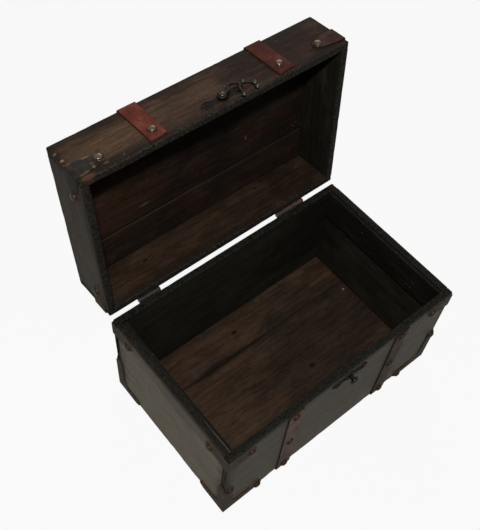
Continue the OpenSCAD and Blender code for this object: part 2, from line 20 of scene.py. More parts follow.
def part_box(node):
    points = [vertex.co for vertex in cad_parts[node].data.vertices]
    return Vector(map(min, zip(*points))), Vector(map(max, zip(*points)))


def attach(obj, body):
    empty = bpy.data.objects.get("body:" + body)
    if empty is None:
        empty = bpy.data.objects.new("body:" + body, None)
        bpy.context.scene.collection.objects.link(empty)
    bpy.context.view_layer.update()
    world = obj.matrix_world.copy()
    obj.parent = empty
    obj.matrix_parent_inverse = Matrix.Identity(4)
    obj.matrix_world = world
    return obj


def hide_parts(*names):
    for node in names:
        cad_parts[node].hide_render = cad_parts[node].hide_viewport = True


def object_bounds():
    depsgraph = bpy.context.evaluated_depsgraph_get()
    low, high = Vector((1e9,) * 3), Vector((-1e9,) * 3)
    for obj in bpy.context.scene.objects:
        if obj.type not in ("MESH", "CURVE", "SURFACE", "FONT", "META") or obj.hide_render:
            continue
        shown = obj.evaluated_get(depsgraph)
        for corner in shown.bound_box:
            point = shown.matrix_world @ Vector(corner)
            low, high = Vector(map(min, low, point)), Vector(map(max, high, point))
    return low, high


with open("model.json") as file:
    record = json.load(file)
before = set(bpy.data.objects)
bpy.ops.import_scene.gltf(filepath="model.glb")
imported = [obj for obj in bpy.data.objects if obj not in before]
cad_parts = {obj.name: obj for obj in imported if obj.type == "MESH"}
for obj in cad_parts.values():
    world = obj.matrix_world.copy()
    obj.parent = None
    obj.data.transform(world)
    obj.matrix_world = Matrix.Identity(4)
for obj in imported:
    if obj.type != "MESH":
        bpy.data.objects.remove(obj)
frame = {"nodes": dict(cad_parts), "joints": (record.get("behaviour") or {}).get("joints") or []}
cad_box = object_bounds()

MM = 0.001
LOG = logging.getLogger("strong_box")

Colour = tuple[float, float, float]
Place = tuple[float, float, float]
Profile = list[tuple[float, float, float]]
Ring = Sequence[tuple[Vector, float]]
Socket = bpy.types.NodeSocket
Value = Socket | float | Colour

MERGE = 1e-6  # points nearer than this are one
FLAT_TURN = math.radians(2)  # faces that meet flatter than this are joined
SHARP_TURN = math.radians(32)  # edges that bend more than this are rounded
WORN_TURN = math.radians(30)  # edges that bend this much are worn in full
LONG_EDGE = 3 * MM  # longer edges are split, so that wear fades over a short way
SMOOTH_UNDER = 38.0  # degrees; edges flatter than this shade smooth
DENT_WAVES = 420  # dents of a hammered head, in waves a metre


class Body(Enum):
    """The bodies that pieces ride on."""

    BASE = "base"
    LID = "lid"
    HOOK = "hook"


class Grain(Enum):
    """The axis that a board's fibres run along."""

    X = 0
    Y = 1


class Side(Enum):
    """The outward direction of a board's show face."""

    FRONT = (0.0, -1.0, 0.0)
    BACK = (0.0, 1.0, 0.0)
    LEFT = (-1.0, 0.0, 0.0)
    RIGHT = (1.0, 0.0, 0.0)
    UNDER = (0.0, 0.0, -1.0)
    TOP = (0.0, 0.0, 1.0)

    @property
    def out(self) -> Vector:
        """The direction as a vector."""
        return Vector(self.value)


# ---- meshes ----


def wander(place: float, seed: float, pitch: float) -> float:
    """Smooth noise along a line.

    Args:
        place: Distance along the line, in metres.
        seed: Which line.
        pitch: Length of one wave, in metres.

    Returns:
        A value from about -1 to 1.
    """
    return noise.noise(Vector((place / pitch, seed * 7.31, seed * 1.17)))


def shade(colour: Colour, share: float) -> Colour:
    """A colour made darker or lighter by one share."""
    return tuple(share * part for part in colour)


class Skin:
    """Points and faces gathered for one mesh, with a wear value on each point."""

    def __init__(self) -> None:
        """Starts empty."""
        self.points: list[Vector] = []
        self.wear: list[float] = []
        self.faces: list[tuple[int, ...]] = []
        self.finishes: list[int] = []

    def sweep(self, rings: Sequence[Ring], finish: int = 0) -> None:
        """Joins rings of equal length into a closed tube with flat ends.

        Args:
            rings: Each ring is a list of (point, wear), all of one length.
            finish: Which of the piece's materials it takes.
        """
        count = len(rings[0])
        first = len(self.points)
        for ring in rings:
            self.points += [point for point, _ in ring]
            self.wear += [wear for _, wear in ring]
        for r in range(len(rings) - 1):
            at = first + r * count
            for i in range(count):
                j = (i + 1) % count
                self.faces.append((at + i, at + j, at + count + j, at + count + i))
        last = first + (len(rings) - 1) * count
        self.faces.append(tuple(range(first, first + count)))
        self.faces.append(tuple(range(last, last + count)))
        self.finishes += [finish] * (len(self.faces) - len(self.finishes))

    def lathe(self, profile: Profile, place: Matrix, sides: int, dent: float = 0.0, seed: float = 0.0,
              finish: int = 0) -> None:
        """Adds a turned form.

        Args:
            profile: (radius, height, wear) from the foot to the crown.
            place: Where the form's axis and foot stand.
            sides: Points round each ring.
            dent: Depth of hammered dents, in metres.
            seed: Which dents.
            finish: Which of the piece's materials it takes.
        """
        rings = []
        for radius, height, wear in profile:
            ring = []
            for i in range(sides):
                turn = 2 * math.pi * i / sides
                point = Vector((radius * math.cos(turn), radius * math.sin(turn), height))
                if dent:
                    cell = point * DENT_WAVES + Vector((seed * 3.7, seed * 1.3, seed))
                    point *= 1 - dent * (0.5 + 0.5 * noise.noise(cell)) / max(point.length, MERGE)
                ring.append((place @ point, wear))
            rings.append(ring)
        self.sweep(rings, finish)

    def piece(self, name: str, smooth_under: float = SMOOTH_UNDER) -> bpy.types.Object:
        """Makes the object.

        Args:
            name: The object's name.
            smooth_under: Edges flatter than this many degrees shade smooth.

        Returns:
            The new object, linked into the scene.
        """
        mesh = bpy.data.meshes.new(name)
        mesh.from_pydata([tuple(p) for p in self.points], [], self.faces)
        mesh.polygons.foreach_set("material_index", self.finishes)
        form = bmesh.new()
        form.from_mesh(mesh)
        bmesh.ops.recalc_face_normals(form, faces=form.faces)
        form.to_mesh(mesh)
        form.free()
        layer = mesh.attributes.new("wear", "FLOAT", "POINT")
        layer.data.foreach_set("value", self.wear)
        return shown(name, mesh, smooth_under)


def linked(name: str, data: bpy.types.ID) -> bpy.types.Object:
    """Makes an object and links it into the scene.

    Args:
        name: The object's name.
        data: Its mesh, light or camera.

    Returns:
        The new object.
    """
    made = bpy.data.objects.new(name, data)
    bpy.context.scene.collection.objects.link(made)
    return made


def shown(name: str, mesh: bpy.types.Mesh, smooth_under: float) -> bpy.types.Object:
    """Links a mesh into the scene with smooth shading.

    Args:
        name: The object's name.
        mesh: Its mesh.
        smooth_under: Edges flatter than this many degrees shade smooth.

    Returns:
        The new object.
    """
    mesh.shade_smooth()
    mesh.set_sharp_from_angle(angle=math.radians(smooth_under))
    return linked(name, mesh)


def softened(node: str, name: str, bevel: float, space: Matrix) -> bpy.types.Object:
    """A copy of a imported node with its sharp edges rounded.

    Args:
        node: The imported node.
        name: The new piece's name.
        bevel: Width of the rounding, in metres.
        space: The matrix that the piece's object will hold; its mesh is written in that space.

    Returns:
        The new piece.
    """
    mesh = frame["nodes"][node].data.copy()
    mesh.name = name
    mesh.materials.clear()
    mesh.transform(space.inverted())
    form = bmesh.new()
    form.from_mesh(mesh)
    bmesh.ops.remove_doubles(form, verts=form.verts, dist=MERGE)
    bmesh.ops.dissolve_limit(form, angle_limit=FLAT_TURN, verts=form.verts, edges=form.edges)
    sharp = [e for e in form.edges if e.is_manifold and e.calc_face_angle(0.0) > SHARP_TURN]
    bmesh.ops.bevel(form, geom=sharp, offset=bevel, segments=2, profile=0.6, affect="EDGES",
                    clamp_overlap=True)
    for _ in range(3):
        bmesh.ops.triangulate(form, faces=[f for f in form.faces if len(f.verts) > 3])
        long = [e for e in form.edges if e.calc_length() > LONG_EDGE]
        bmesh.ops.subdivide_edges(form, edges=long, cuts=1)
    wear = form.verts.layers.float.new("wear")
    for vert in form.verts:
        bend = max((e.calc_face_angle(0.0) for e in vert.link_edges if e.is_manifold), default=0.0)
        vert[wear] = min(1.0, bend / WORN_TURN)
    form.to_mesh(mesh)
    form.free()
    return shown(name, mesh, SMOOTH_UNDER)


# ---- shader helpers ----


class Shader:
    """Adds nodes to one material by short calls; most return the socket that they give."""

    def __init__(self, name: str) -> None:
        """Makes the material.

        Args:
            name: The material's name.
        """
        self.material = bpy.data.materials.new(name)
        self.material.use_nodes = True
        self.tree = self.material.node_tree
        self.surface = self.tree.nodes["Principled BSDF"]
        self.place = self.add("ShaderNodeTexCoord").outputs["Object"]

    def add(self, kind: str, **settings: object) -> bpy.types.Node:
        """Adds one node and sets its properties.

        Args:
            kind: The node's type.
            settings: Its properties, by name.

        Returns:
            The node.
        """
        node = self.tree.nodes.new(kind)
        for key, value in settings.items():
            setattr(node, key, value)
        return node

    def put(self, socket: Socket, value: Value) -> None:
        """Links a socket to another, or writes a plain value in it.

        Args:
            socket: The input.
            value: A socket, a number, a vector or a colour.
        """
        if isinstance(value, bpy.types.NodeSocket):
            self.tree.links.new(value, socket)
        elif isinstance(value, tuple) and socket.type == "RGBA":
            socket.default_value = (*value, 1.0)
        else:
            socket.default_value = value

    def calc(self, how: str, a: Value, b: Value = 0.0, clamp: bool = False) -> Socket:
        """One step of arithmetic on numbers.

        Args:
            how: The operation.
            a: The first number.
            b: The second.
            clamp: Whether the outcome is held between 0 and 1.

        Returns:
            The outcome.
        """
        node = self.add("ShaderNodeMath", operation=how, use_clamp=clamp)
        self.put(node.inputs[0], a)
        self.put(node.inputs[1], b)
        return node.outputs[0]

    def times(self, a: Value, b: Value) -> Socket:
        """One number times another."""
        return self.calc("MULTIPLY", a, b)

    def plus(self, a: Value, b: Value) -> Socket:
        """One number plus another."""
        return self.calc("ADD", a, b)

    def minus(self, a: Value, b: Value) -> Socket:
        """One number less another."""
        return self.calc("SUBTRACT", a, b)

    def total(self, first: tuple[Value, float], *more: tuple[Value, float]) -> Socket:
        """Adds numbers, each times its own weight.

        Args:
            first: The first number and its weight.
            more: The others.

        Returns:
            The sum.
        """
        whole = self.times(*first)
        for value, weight in more:
            whole = self.plus(whole, self.times(value, weight))
        return whole

    def swing(self, value: Value, reach: float) -> Socket:
        """Noise from 0 to 1, moved to lie about 0 and spread over a reach."""
        return self.times(self.minus(value, 0.5), reach)

    def vector(self, how: str, a: Value, b: Value) -> Socket:
        """One step of arithmetic on vectors.

        Args:
            how: The operation.
            a: The first vector.
            b: The second.

        Returns:
            The outcome: a number for a length or a dot product, or else a vector.
        """
        node = self.add("ShaderNodeVectorMath", operation=how)
        self.put(node.inputs[0], a)
        self.put(node.inputs[1], b)
        return node.outputs["Value" if how in ("LENGTH", "DOT_PRODUCT") else 0]

    def shifted(self, seed: int, steps: Place) -> Socket:
        """A place moved away by a seed, so that each piece shows its own part of the noise."""
        return self.vector("ADD", self.place, tuple(seed * step for step in steps))

    def axes(self) -> Sequence[Socket]:
        """Splits the place into its coordinates.

        Returns:
            X, Y and Z in the space of the piece.
        """
        split = self.add("ShaderNodeSeparateXYZ")
        self.put(split.inputs[0], self.place)
        return split.outputs

    def cells(self, where: Value, waves: float) -> Socket:
        """Distance to the nearest of a scatter of points.

        Args:
            where: The place.
            waves: Points a metre.

        Returns:
            The distance, in cells.
        """
        scaled = self.vector("MULTIPLY", where, (waves, waves, waves))
        node = self.add("ShaderNodeTexVoronoi")
        self.put(node.inputs["Vector"], scaled)
        self.put(node.inputs["Scale"], 1.0)
        return node.outputs["Distance"]

    def band(self, value: Value, low: float, high: float) -> Socket:
        """A smooth step between two values.

        Args:
            value: The number.
            low: Where the step is 0; it may be the larger.
            high: Where the step is 1.

        Returns:
            A value from 0 to 1.
        """
        node = self.add("ShaderNodeMapRange", interpolation_type="SMOOTHSTEP", clamp=True)
        self.put(node.inputs["Value"], value)
        flip = low > high
        self.put(node.inputs["From Min"], min(low, high))
        self.put(node.inputs["From Max"], max(low, high))
        self.put(node.inputs["To Min"], 1.0 if flip else 0.0)
        self.put(node.inputs["To Max"], 0.0 if flip else 1.0)
        return node.outputs["Result"]

    def mix(self, share: Value, a: Value, b: Value) -> Socket:
        """Mixes two colours.

        Args:
            share: How much of the second there is.
            a: The first colour.
            b: The second.

        Returns:
            The mixture.
        """
        node = self.add("ShaderNodeMix", data_type="RGBA", blend_type="MIX")
        self.put(node.inputs[0], share)
        self.put(node.inputs[6], a)
        self.put(node.inputs[7], b)
        return node.outputs[2]

    def tone(self, value: Value, dark: Colour, middle: Colour, light: Colour) -> Socket:
        """A ramp of three colours over a number.

        Args:
            value: The number.
            dark: The colour at 0.
            middle: The colour half way.
            light: The colour at 1.

        Returns:
            The colour.
        """
        node = self.add("ShaderNodeValToRGB")
        self.put(node.inputs[0], value)
        ramp = node.color_ramp
        ramp.elements.new(0.5)
        for element, position, colour in zip(ramp.elements, (0.0, 0.5, 1.0), (dark, middle, light)):
            element.position = position
            element.color = (*colour, 1.0)
        return node.outputs[0]

    def wear(self) -> Socket:
        """The wear value that the mesh carries."""
        return self.add("ShaderNodeAttribute", attribute_name="wear").outputs["Fac"]

    def bump(self, height: Value, depth: float, strength: float) -> None:
        """Gives the surface a relief.

        Args:
            height: The relief, from 0 to 1.
            depth: Its depth, in metres.
            strength: How much of it shows.
        """
        node = self.add("ShaderNodeBump")
        self.put(node.inputs["Strength"], strength)
        self.put(node.inputs["Distance"], depth)
        self.put(node.inputs["Height"], height)
        self.put(self.surface.inputs["Normal"], node.outputs[0])

    def finish(self, colour: Value, roughness: Value, specular: float,
               metallic: float = 0.0) -> bpy.types.Material:
        """Sets the main sockets.

        Args:
            colour: The surface's own colour.
            roughness: How dull its gloss is.
            specular: How strong its gloss is.
            metallic: How far it is a metal.

        Returns:
            The finished material.
        """
        self.put(self.surface.inputs["Base Color"], colour)
        self.put(self.surface.inputs["Roughness"], roughness)
        self.put(self.surface.inputs["Specular IOR Level"], specular)
        self.put(self.surface.inputs["Metallic"], metallic)
        return self.material


@dataclass(frozen=True)
class Waves:
    """A layer of noise: its waves a metre along the fibres and across them, and how it breaks up."""

    along: float
    across: float
    detail: float
    rough: float

    def at(self, s: Shader, where: Value, axis: int = 0, coloured: bool = False) -> Socket:
        """The noise at a place.

        Args:
            s: The shader under work.
            where: The place.
            axis: The axis of the fibres.
            coloured: Whether three values are wanted in place of one.

        Returns:
            A value from 0 to 1, or three of them.
        """
        counts = [self.across] * 3
        counts[axis] = self.along
        scaled = s.vector("MULTIPLY", where, tuple(counts))
        node = s.add("ShaderNodeTexNoise")
        s.put(node.inputs["Vector"], scaled)
        s.put(node.inputs["Scale"], 1.0)
        s.put(node.inputs["Detail"], self.detail)
        s.put(node.inputs["Roughness"], self.rough)
        return node.outputs[int(coloured)]


# ---- finishes ----

WOOD_SWAY = Waves(5, 11, 2, 0.5)
WOOD_FIGURE = Waves(9, 230, 5, 0.66)
WOOD_FIBRE = Waves(70, 1150, 3, 0.7)
WOOD_BLOTCH = Waves(22, 40, 4, 0.6)
WOOD_STRIPE = Waves(12, 120, 4, 0.65)
WOOD_FLECKS = Waves(420, 420, 3, 0.7)
WOOD_PORES = Waves(60, 820, 2, 0.7)
WOOD_TINT = Waves(34, 60, 3, 0.6)
WOOD_DENTS = Waves(70, 70, 3, 0.5)
WOOD_GATE = Waves(60, 60, 1, 0.5)
KNOT_WOBBLE = Waves(240, 240, 3, 0.5)
HIDE_BLOTCH = Waves(55, 55, 4, 0.6)
HIDE_CREASE = Waves(260, 260, 4, 0.65)
METAL_PATINA = Waves(220, 220, 4, 0.6)
METAL_GRAIN = Waves(1500, 1500, 3, 0.6)

# How far a seed moves the noise.
WOOD_STEPS = (0.371, 0.733, 1.197)
HIDE_STEPS = (0.41, 0.77, 0.23)
METAL_STEPS = (0.31, 0.57, 0.83)

# Where a layer starts to count, and where it counts in full.
RUB_STRIPES = (0.48, 0.66)
RUB_BLOTCHES = (0.44, 0.64)
TINT_CLOUDS = (0.46, 0.64)
PORE_DEPTH = (0.40, 0.30)
RIM_FLECKS = (0.38, 0.62)
ARRIS_FLECKS = (0.42, 0.60)
CHIP_CELLS = (0.15, 0.08)
CHIP_CLOUDS = (0.52, 0.60)
# grime and painted shade: full at a face's edge, gone 12 mm in
GRIME_SHADE_REACH = (12 * MM, 0.0)
RIM_REACH = (3.4 * MM, 0.6 * MM)
ARRIS_REACH = (1.3 * MM, 0.2 * MM)
KNOT_HEART = (1.3, 0.6)
KNOT_HALO = (2.6, 1.2)
PATCH_RIM = (1.15, 0.45)
HIDE_LEVELS = (0.34, 0.68)
SCUFF_CREASES = (0.52, 0.66)
SCUFF_BLOTCHES = (0.45, 0.62)
HIDE_EDGE = (0.50, 0.85)
HIDE_CHIPS = (0.56, 0.48)
BARE_WEAR = (0.25, 0.75)
RUST_CLOUDS = (0.42, 0.58)

FIBRE_BEND = 0.02
KNOT_SQUEEZE = 0.62
PORE_SHARE = 0.55
PORE_TONE = (0.006, 0.005, 0.004)
# colour of the grime and painted shade along the edges
GRIME_SHADE_TONE = (0.010, 0.0085, 0.0065)
CHIP_TONE = (0.14, 0.11, 0.08)
HALF = (0.5, 0.5, 0.5)
ORIGIN = (0.0, 0.0, 0.0)


@dataclass(frozen=True)
class Knot:
    """A knot: its place on the board, and its radius, in metres."""

    place: Place
    radius: float
    halo: float = 0.3


@dataclass(frozen=True)
class Patch:
    """A stretch whose colour has changed: rubbed, bleached, soaked or chipped, or painted light or shade."""

    place: Place
    reach: Place
    tone: Colour
    share: float = 0.6
    chip: bool = False

    def over(self, s: Shader, colour: Value, broad: Value, fine: Value, level: Value) -> Socket:
        """Lays the patch over a colour.

        Args:
            s: The shader under work.
            colour: What lies under the patch.
            broad: Slow noise from 0 to 1 that breaks up the rim of a wide patch.
            fine: Quick noise from 0 to 1 that breaks up the rim of a chip.
            level: How light the surface is there, from 0 to 1, which the patch keeps.

        Returns:
            The colour with the patch on it.
        """
        away = s.vector("DIVIDE", s.vector("SUBTRACT", s.place, self.place), self.reach)
        ragged = s.swing(fine if self.chip else broad, 1.6)
        reach = s.plus(s.vector("LENGTH", away, ORIGIN), ragged)
        share = s.times(s.band(reach, *PATCH_RIM), self.share)
        return s.mix(share, colour, s.mix(level, shade(self.tone, 0.4), shade(self.tone, 1.6)))


@dataclass(frozen=True)
class Stain:
    """The three tones of one stained face."""

    dark: Colour
    middle: Colour
    light: Colour


@dataclass(frozen=True)
class Wood:
    """A board's stains and marks: outside, inside, rubbed streaks, black rim and worn arrises."""

    outside: Stain
    inside: Stain
    rubbed: Colour = (0.10, 0.062, 0.036)
    rub_share: float = 0.3
    arris: Colour = (0.030, 0.024, 0.018)
    rim: Colour = (0.0085, 0.0085, 0.0068)
    rim_share: float = 0.9
    # share of grime and painted shade that darkens each face near its edges
    grime_and_shade: float = 0.5
    specks: float = 0.0
    roughness: float = 0.58
    gloss: float = 0.02
    tint: Colour = (0.040, 0.021, 0.011)
    tint_share: float = 0.0
    contrast: float = 1.0
    knots: tuple[Knot, ...] = ()
    knot_heart: Colour = (0.0085, 0.005, 0.0045)
    knot_ring: Colour = (0.044, 0.024, 0.014)
    patches: tuple[Patch, ...] = ()


class Timber:
    """One piece of timber under its stain; each layer of its noise runs from 0 to 1."""

    def __init__(self, name: str, wood: Wood, low: Vector, high: Vector, grain: Grain, seed: int) -> None:
        """Lays down the noise.

        Args:
            name: The material's name.
            wood: Its stains and marks.
            low: The board's lowest corner in its own space.
            high: Its highest corner.
            grain: The way that the fibres run.
            seed: Which piece of timber.
        """
        s = Shader(name)
        along = grain.value
        shifted = s.shifted(seed, WOOD_STEPS)
        sway = s.vector("SUBTRACT", WOOD_SWAY.at(s, shifted, along, coloured=True), HALF)
        bent = s.vector("ADD", shifted, s.vector("MULTIPLY", sway, (FIBRE_BEND,) * 3))
        self.shader, self.wood, self.low, self.high, self.along = s, wood, low, high, along
        self.shifted = shifted
        self.figure = WOOD_FIGURE.at(s, bent, along)
        self.fibre = WOOD_FIBRE.at(s, bent, along)
        self.blotch = WOOD_BLOTCH.at(s, shifted, along)
        self.stripe = WOOD_STRIPE.at(s, bent, along)
        self.flecks = WOOD_FLECKS.at(s, shifted)
        self.pores = s.band(WOOD_PORES.at(s, bent, along), *PORE_DEPTH)
        mixed = s.total((self.figure, 0.32), (self.blotch, 0.24), (self.fibre, 0.30), (self.flecks, 0.14))
        spread = 0.15 / wood.contrast
        self.level = s.band(mixed, 0.5 - spread, 0.5 + spread)

    def painted(self, side: Side, rim_z: float | None) -> bpy.types.Material:
        """Lays every coat and the relief.

        Args:
            side: The way that the show face looks.
            rim_z: Height of the black rim, where the board has one.

        Returns:
            The material.
        """
        s, wood = self.shader, self.wood
        colour = self.patched(self.stained(self.outward(side)), chips=False)
        colour = s.mix(s.times(self.pores, PORE_SHARE), colour, PORE_TONE)
        if wood.knots:
            heart, ring = self.knot_marks()
            colour = s.mix(ring, colour, wood.knot_ring)
            colour = s.mix(heart, colour, wood.knot_heart)
        colour = self.patched(self.soiled_and_shaded(colour, rim_z), chips=True)
        if wood.specks:
            chip = s.band(s.cells(self.shifted, 150), *CHIP_CELLS)
            gate = s.band(WOOD_GATE.at(s, self.shifted), *CHIP_CLOUDS)
            colour = s.mix(s.times(s.times(chip, gate), wood.specks), colour, CHIP_TONE)
        dents = WOOD_DENTS.at(s, self.shifted)
        relief = s.total((self.figure, 0.4), (self.fibre, 0.4), (dents, 0.5), (self.pores, -0.3))
        s.bump(relief, 0.5 * MM, 0.8)
        rough = s.plus(wood.roughness - 0.12, s.times(self.blotch, 0.26))
        return s.finish(colour, rough, wood.gloss)

    def outward(self, side: Side) -> Socket:
        """Tells the show face from the inside.

        Args:
            side: The way that the show face looks.

        Returns:
            1 towards the show face and 0 towards the inside.
        """
        s = self.shader
        away = s.vector("SUBTRACT", s.place, tuple((self.low + self.high) / 2))
        half = max((self.high[i] - self.low[i]) / 2 * abs(side.value[i]) for i in range(3))
        return s.band(s.vector("DOT_PRODUCT", away, side.value), 0.35 * half, 0.55 * half)

    def stained(self, out: Value) -> Socket:
        """Stains the two faces and lays the rubbed streaks and the tint over them.

        Args:
            out: 1 towards the show face and 0 towards the inside.

        Returns:
            The colour.
        """
        s, wood = self.shader, self.wood
        inside, outside = (s.tone(self.level, stain.dark, stain.middle, stain.light)
                           for stain in (wood.inside, wood.outside))
        colour = s.mix(out, inside, outside)
        rub = s.times(s.band(self.stripe, *RUB_STRIPES), s.band(self.blotch, *RUB_BLOTCHES))
        colour = s.mix(s.times(rub, wood.rub_share), colour, wood.rubbed)
        if wood.tint_share:
            cloudy = s.band(WOOD_TINT.at(s, self.shifted, self.along), *TINT_CLOUDS)
            warm = s.mix(self.level, shade(wood.tint, 0.4), shade(wood.tint, 1.7))
            colour = s.mix(s.times(cloudy, wood.tint_share), colour, warm)
        return colour

    def patched(self, colour: Value, chips: bool) -> Socket:
        """Lays on one kind of the board's patches.

        Args:
            colour: What lies under them.
            chips: Whether the chips are wanted, or the wide patches.

        Returns:
            The colour.
        """
        for patch in self.wood.patches:
            if patch.chip is chips:
                colour = patch.over(self.shader, colour, self.blotch, self.flecks, self.level)
        return colour

    def soiled_and_shaded(self, colour: Value, rim_z: float | None) -> Socket:
        """Adds the grime and painted shade along the edges, the black rim and the worn arrises.

        Args:
            colour: What lies under them.
            rim_z: Height of the black rim, where the board has one.

        Returns:
            The colour.
        """
        s, wood = self.shader, self.wood
        gap = self.edge_gap()
        ragged = s.swing(self.flecks, 3.2 * MM)
        broad = s.swing(self.blotch, 20 * MM)
        # grime and painted shade: each face darker near its edges
        soot_and_shade = s.band(s.plus(gap, broad), *GRIME_SHADE_REACH)
        colour = s.mix(s.times(soot_and_shade, wood.grime_and_shade), colour, GRIME_SHADE_TONE)
        if rim_z is not None:
            fall = s.calc("ABSOLUTE", s.minus(s.axes()[2], rim_z))
            black = s.band(s.plus(fall, ragged), *RIM_REACH)
            rim = s.mix(s.band(self.flecks, *RIM_FLECKS), shade(wood.rim, 0.45), shade(wood.rim, 1.6))
            colour = s.mix(s.times(black, wood.rim_share), colour, rim)
        worn = s.times(s.band(s.plus(gap, ragged), *ARRIS_REACH), s.band(self.flecks, *ARRIS_FLECKS))
        return s.mix(worn, colour, wood.arris)

    def knot_marks(self) -> tuple[Value, Value]:
        """The hearts and the rings of the board's knots.

        Returns:
            The share of heart and the share of ring at a point.
        """
        s = self.shader
        heart: Value = 0.0
        ring: Value = 0.0
        squeeze = [1.0, 1.0, 1.0]
        squeeze[self.along] = KNOT_SQUEEZE
        for knot in self.wood.knots:
            r = knot.radius
            wobble = s.vector("SUBTRACT", KNOT_WOBBLE.at(s, s.place, coloured=True), HALF)
            away = s.vector("ADD", s.vector("SUBTRACT", s.place, knot.place),
                            s.vector("MULTIPLY", wobble, (1.3 * r,) * 3))
            reach = s.vector("LENGTH", s.vector("MULTIPLY", away, tuple(squeeze)), ORIGIN)
            eye = s.times(s.band(reach, KNOT_HEART[0] * r, KNOT_HEART[1] * r), 0.9)
            heart = s.calc("MAXIMUM", heart, eye)
            halo = s.times(s.band(reach, KNOT_HALO[0] * r, KNOT_HALO[1] * r), knot.halo)
            ring = s.calc("MAXIMUM", ring, halo)
        return heart, ring

    def edge_gap(self) -> Socket:
        """How far a point on the board lies from the nearest edge of its face.

        Returns:
            The middle one of the three distances to the board's faces.
        """
        s = self.shader
        x, y, z = (s.calc("MINIMUM", s.minus(place, low), s.minus(high, place))
                   for place, low, high in zip(s.axes(), self.low, self.high))
        small, large = s.calc("MINIMUM", x, y), s.calc("MAXIMUM", x, y)
        return s.calc("MAXIMUM", small, s.calc("MINIMUM", large, z))


@dataclass(frozen=True)
class Leather:
    """Vegetable-tanned leather, creased and scuffed, lighter or darker along its cut edge."""

    dark: Colour
    middle: Colour
    light: Colour
    edge: Colour
    edge_share: float = 0.8
    chipped: float = 0.0
    scuff: float = 0.3
    scuff_tone: Colour = (0.2, 0.13, 0.08)
    roughness: float = 0.62
    gloss: float = 0.03
    patches: tuple[Patch, ...] = ()

    def material(self, name: str, seed: int) -> bpy.types.Material:
        """Builds the material.

        Args:
            name: The material's name.
            seed: Which hide.

        Returns:
            The material.
        """
        s = Shader(name)
        shifted = s.shifted(seed, HIDE_STEPS)
        blotch = HIDE_BLOTCH.at(s, shifted)
        crease = HIDE_CREASE.at(s, shifted)
        level = s.band(s.total((blotch, 0.6), (crease, 0.4)), *HIDE_LEVELS)
        colour = s.tone(level, self.dark, self.middle, self.light)
        rub = s.times(s.band(crease, *SCUFF_CREASES), s.band(blotch, *SCUFF_BLOTCHES))
        colour = s.mix(s.times(rub, self.scuff), colour, self.scuff_tone)
        for patch in self.patches:
            colour = patch.over(s, colour, blotch, crease, crease)
        rim = s.band(s.plus(s.wear(), s.swing(crease, 1.6)), *HIDE_EDGE)
        kept = s.minus(1.0, s.times(s.band(blotch, *HIDE_CHIPS), self.chipped))
        colour = s.mix(s.times(s.times(rim, self.edge_share), kept), colour, self.edge)
        s.bump(s.total((crease, 0.8), (s.cells(shifted, 1100), 0.25)), 0.35 * MM, 0.7)
        rough = s.plus(self.roughness - 0.1, s.times(crease, 0.25))
        return s.finish(colour, rough, self.gloss)


@dataclass(frozen=True)
class Metal:
    """Plated metal: dark patina in the hollows, bare metal on what hands rub, rust in patches."""

    patina: Colour
    bare: Colour
    bare_share: float = 0.7
    rust: Colour = (0.16, 0.06, 0.025)
    rust_share: float = 0.0
    roughness: float = 0.42
    metallic: float = 0.9
    gloss: float = 0.5
    grazing: float = 1.0
    relief: float = 0.6
    patches: tuple[Patch, ...] = ()

    def material(self, name: str, seed: int) -> bpy.types.Material:
        """Builds the material.

        Args:
            name: The material's name.
            seed: Which casting.

        Returns:
            The material.
        """
        s = Shader(name)
        shifted = s.shifted(seed, METAL_STEPS)
        patina = METAL_PATINA.at(s, shifted)
        grain = METAL_GRAIN.at(s, shifted)
        rubbed = s.plus(s.wear(), s.swing(patina, 1.2))
        colour = s.mix(s.times(s.band(rubbed, *BARE_WEAR), self.bare_share), self.patina, self.bare)
        rust = s.times(s.band(patina, *RUST_CLOUDS), self.rust_share)
        colour = s.mix(rust, colour, self.rust)
        for patch in self.patches:
            colour = patch.over(s, colour, patina, grain, grain)
        s.bump(s.total((patina, 0.6), (grain, 0.35)), 0.18 * MM, self.relief)
        s.put(s.surface.inputs["Specular Tint"], (self.grazing, self.grazing, self.grazing))
        rough = s.plus(self.roughness, s.swing(patina, 0.3))
        rough = s.calc("ADD", rough, s.times(rust, 0.3), clamp=True)
        return s.finish(colour, rough, self.gloss, self.metallic)


# ---- the box's sizes ----


@dataclass(frozen=True)
class Lid:
    """The lid's turn: from shut, where its pieces are modelled, to open, where the frame holds it."""

    pivot: Vector
    shut_turn: float

    @classmethod
    def from_frame(cls) -> "Lid":
        """Reads the hinge axis and its range from the frame.

        Returns:
            The lid's turn.
        """
        joint = next(j for j in frame["joints"] if j["name"] == "lid_hinge")
        return cls(Vector(joint["pos_m"]), math.radians(max(joint["range_deg"])))

    @property
    def opened(self) -> Matrix:
        """The matrix that takes the shut lid to the open one."""
        turn = Matrix.Rotation(-self.shut_turn, 4, "X")
        return Matrix.Translation(self.pivot) @ turn @ Matrix.Translation(-self.pivot)

    def shut_box(self, node: str) -> tuple[Vector, Vector]:
        """A lid node's lowest and highest corners with the lid shut.

        Args:
            node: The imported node.

        Returns:
            The two corners.
        """
        back = self.opened.inverted()
        points = [back @ v.co for v in frame["nodes"][node].data.vertices]
        low = Vector([min(p[i] for p in points) for i in range(3)])
        high = Vector([max(p[i] for p in points) for i in range(3)])
        return low, high


class Sizes:
    """The box's sizes, read from the frame."""

    def __init__(self) -> None:
        """Reads the sizes."""
        self.lid = Lid.from_frame()
        low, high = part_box("base_front_wall")
        self.front_y, self.end_x = low.y, high.x
        self.under_z, self.rim_z = low.z, high.z
        self.back_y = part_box("base_back_wall")[1].y
        low, high = self.lid.shut_box("lid_front_wall")
        self.lid_z, self.top_z = low.z, high.z

    def box(self, node: str, body: Body) -> tuple[Vector, Vector]:
        """A node's lowest and highest corners in the space that its pieces are modelled in."""
        return self.lid.shut_box(node) if body is Body.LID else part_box(node)


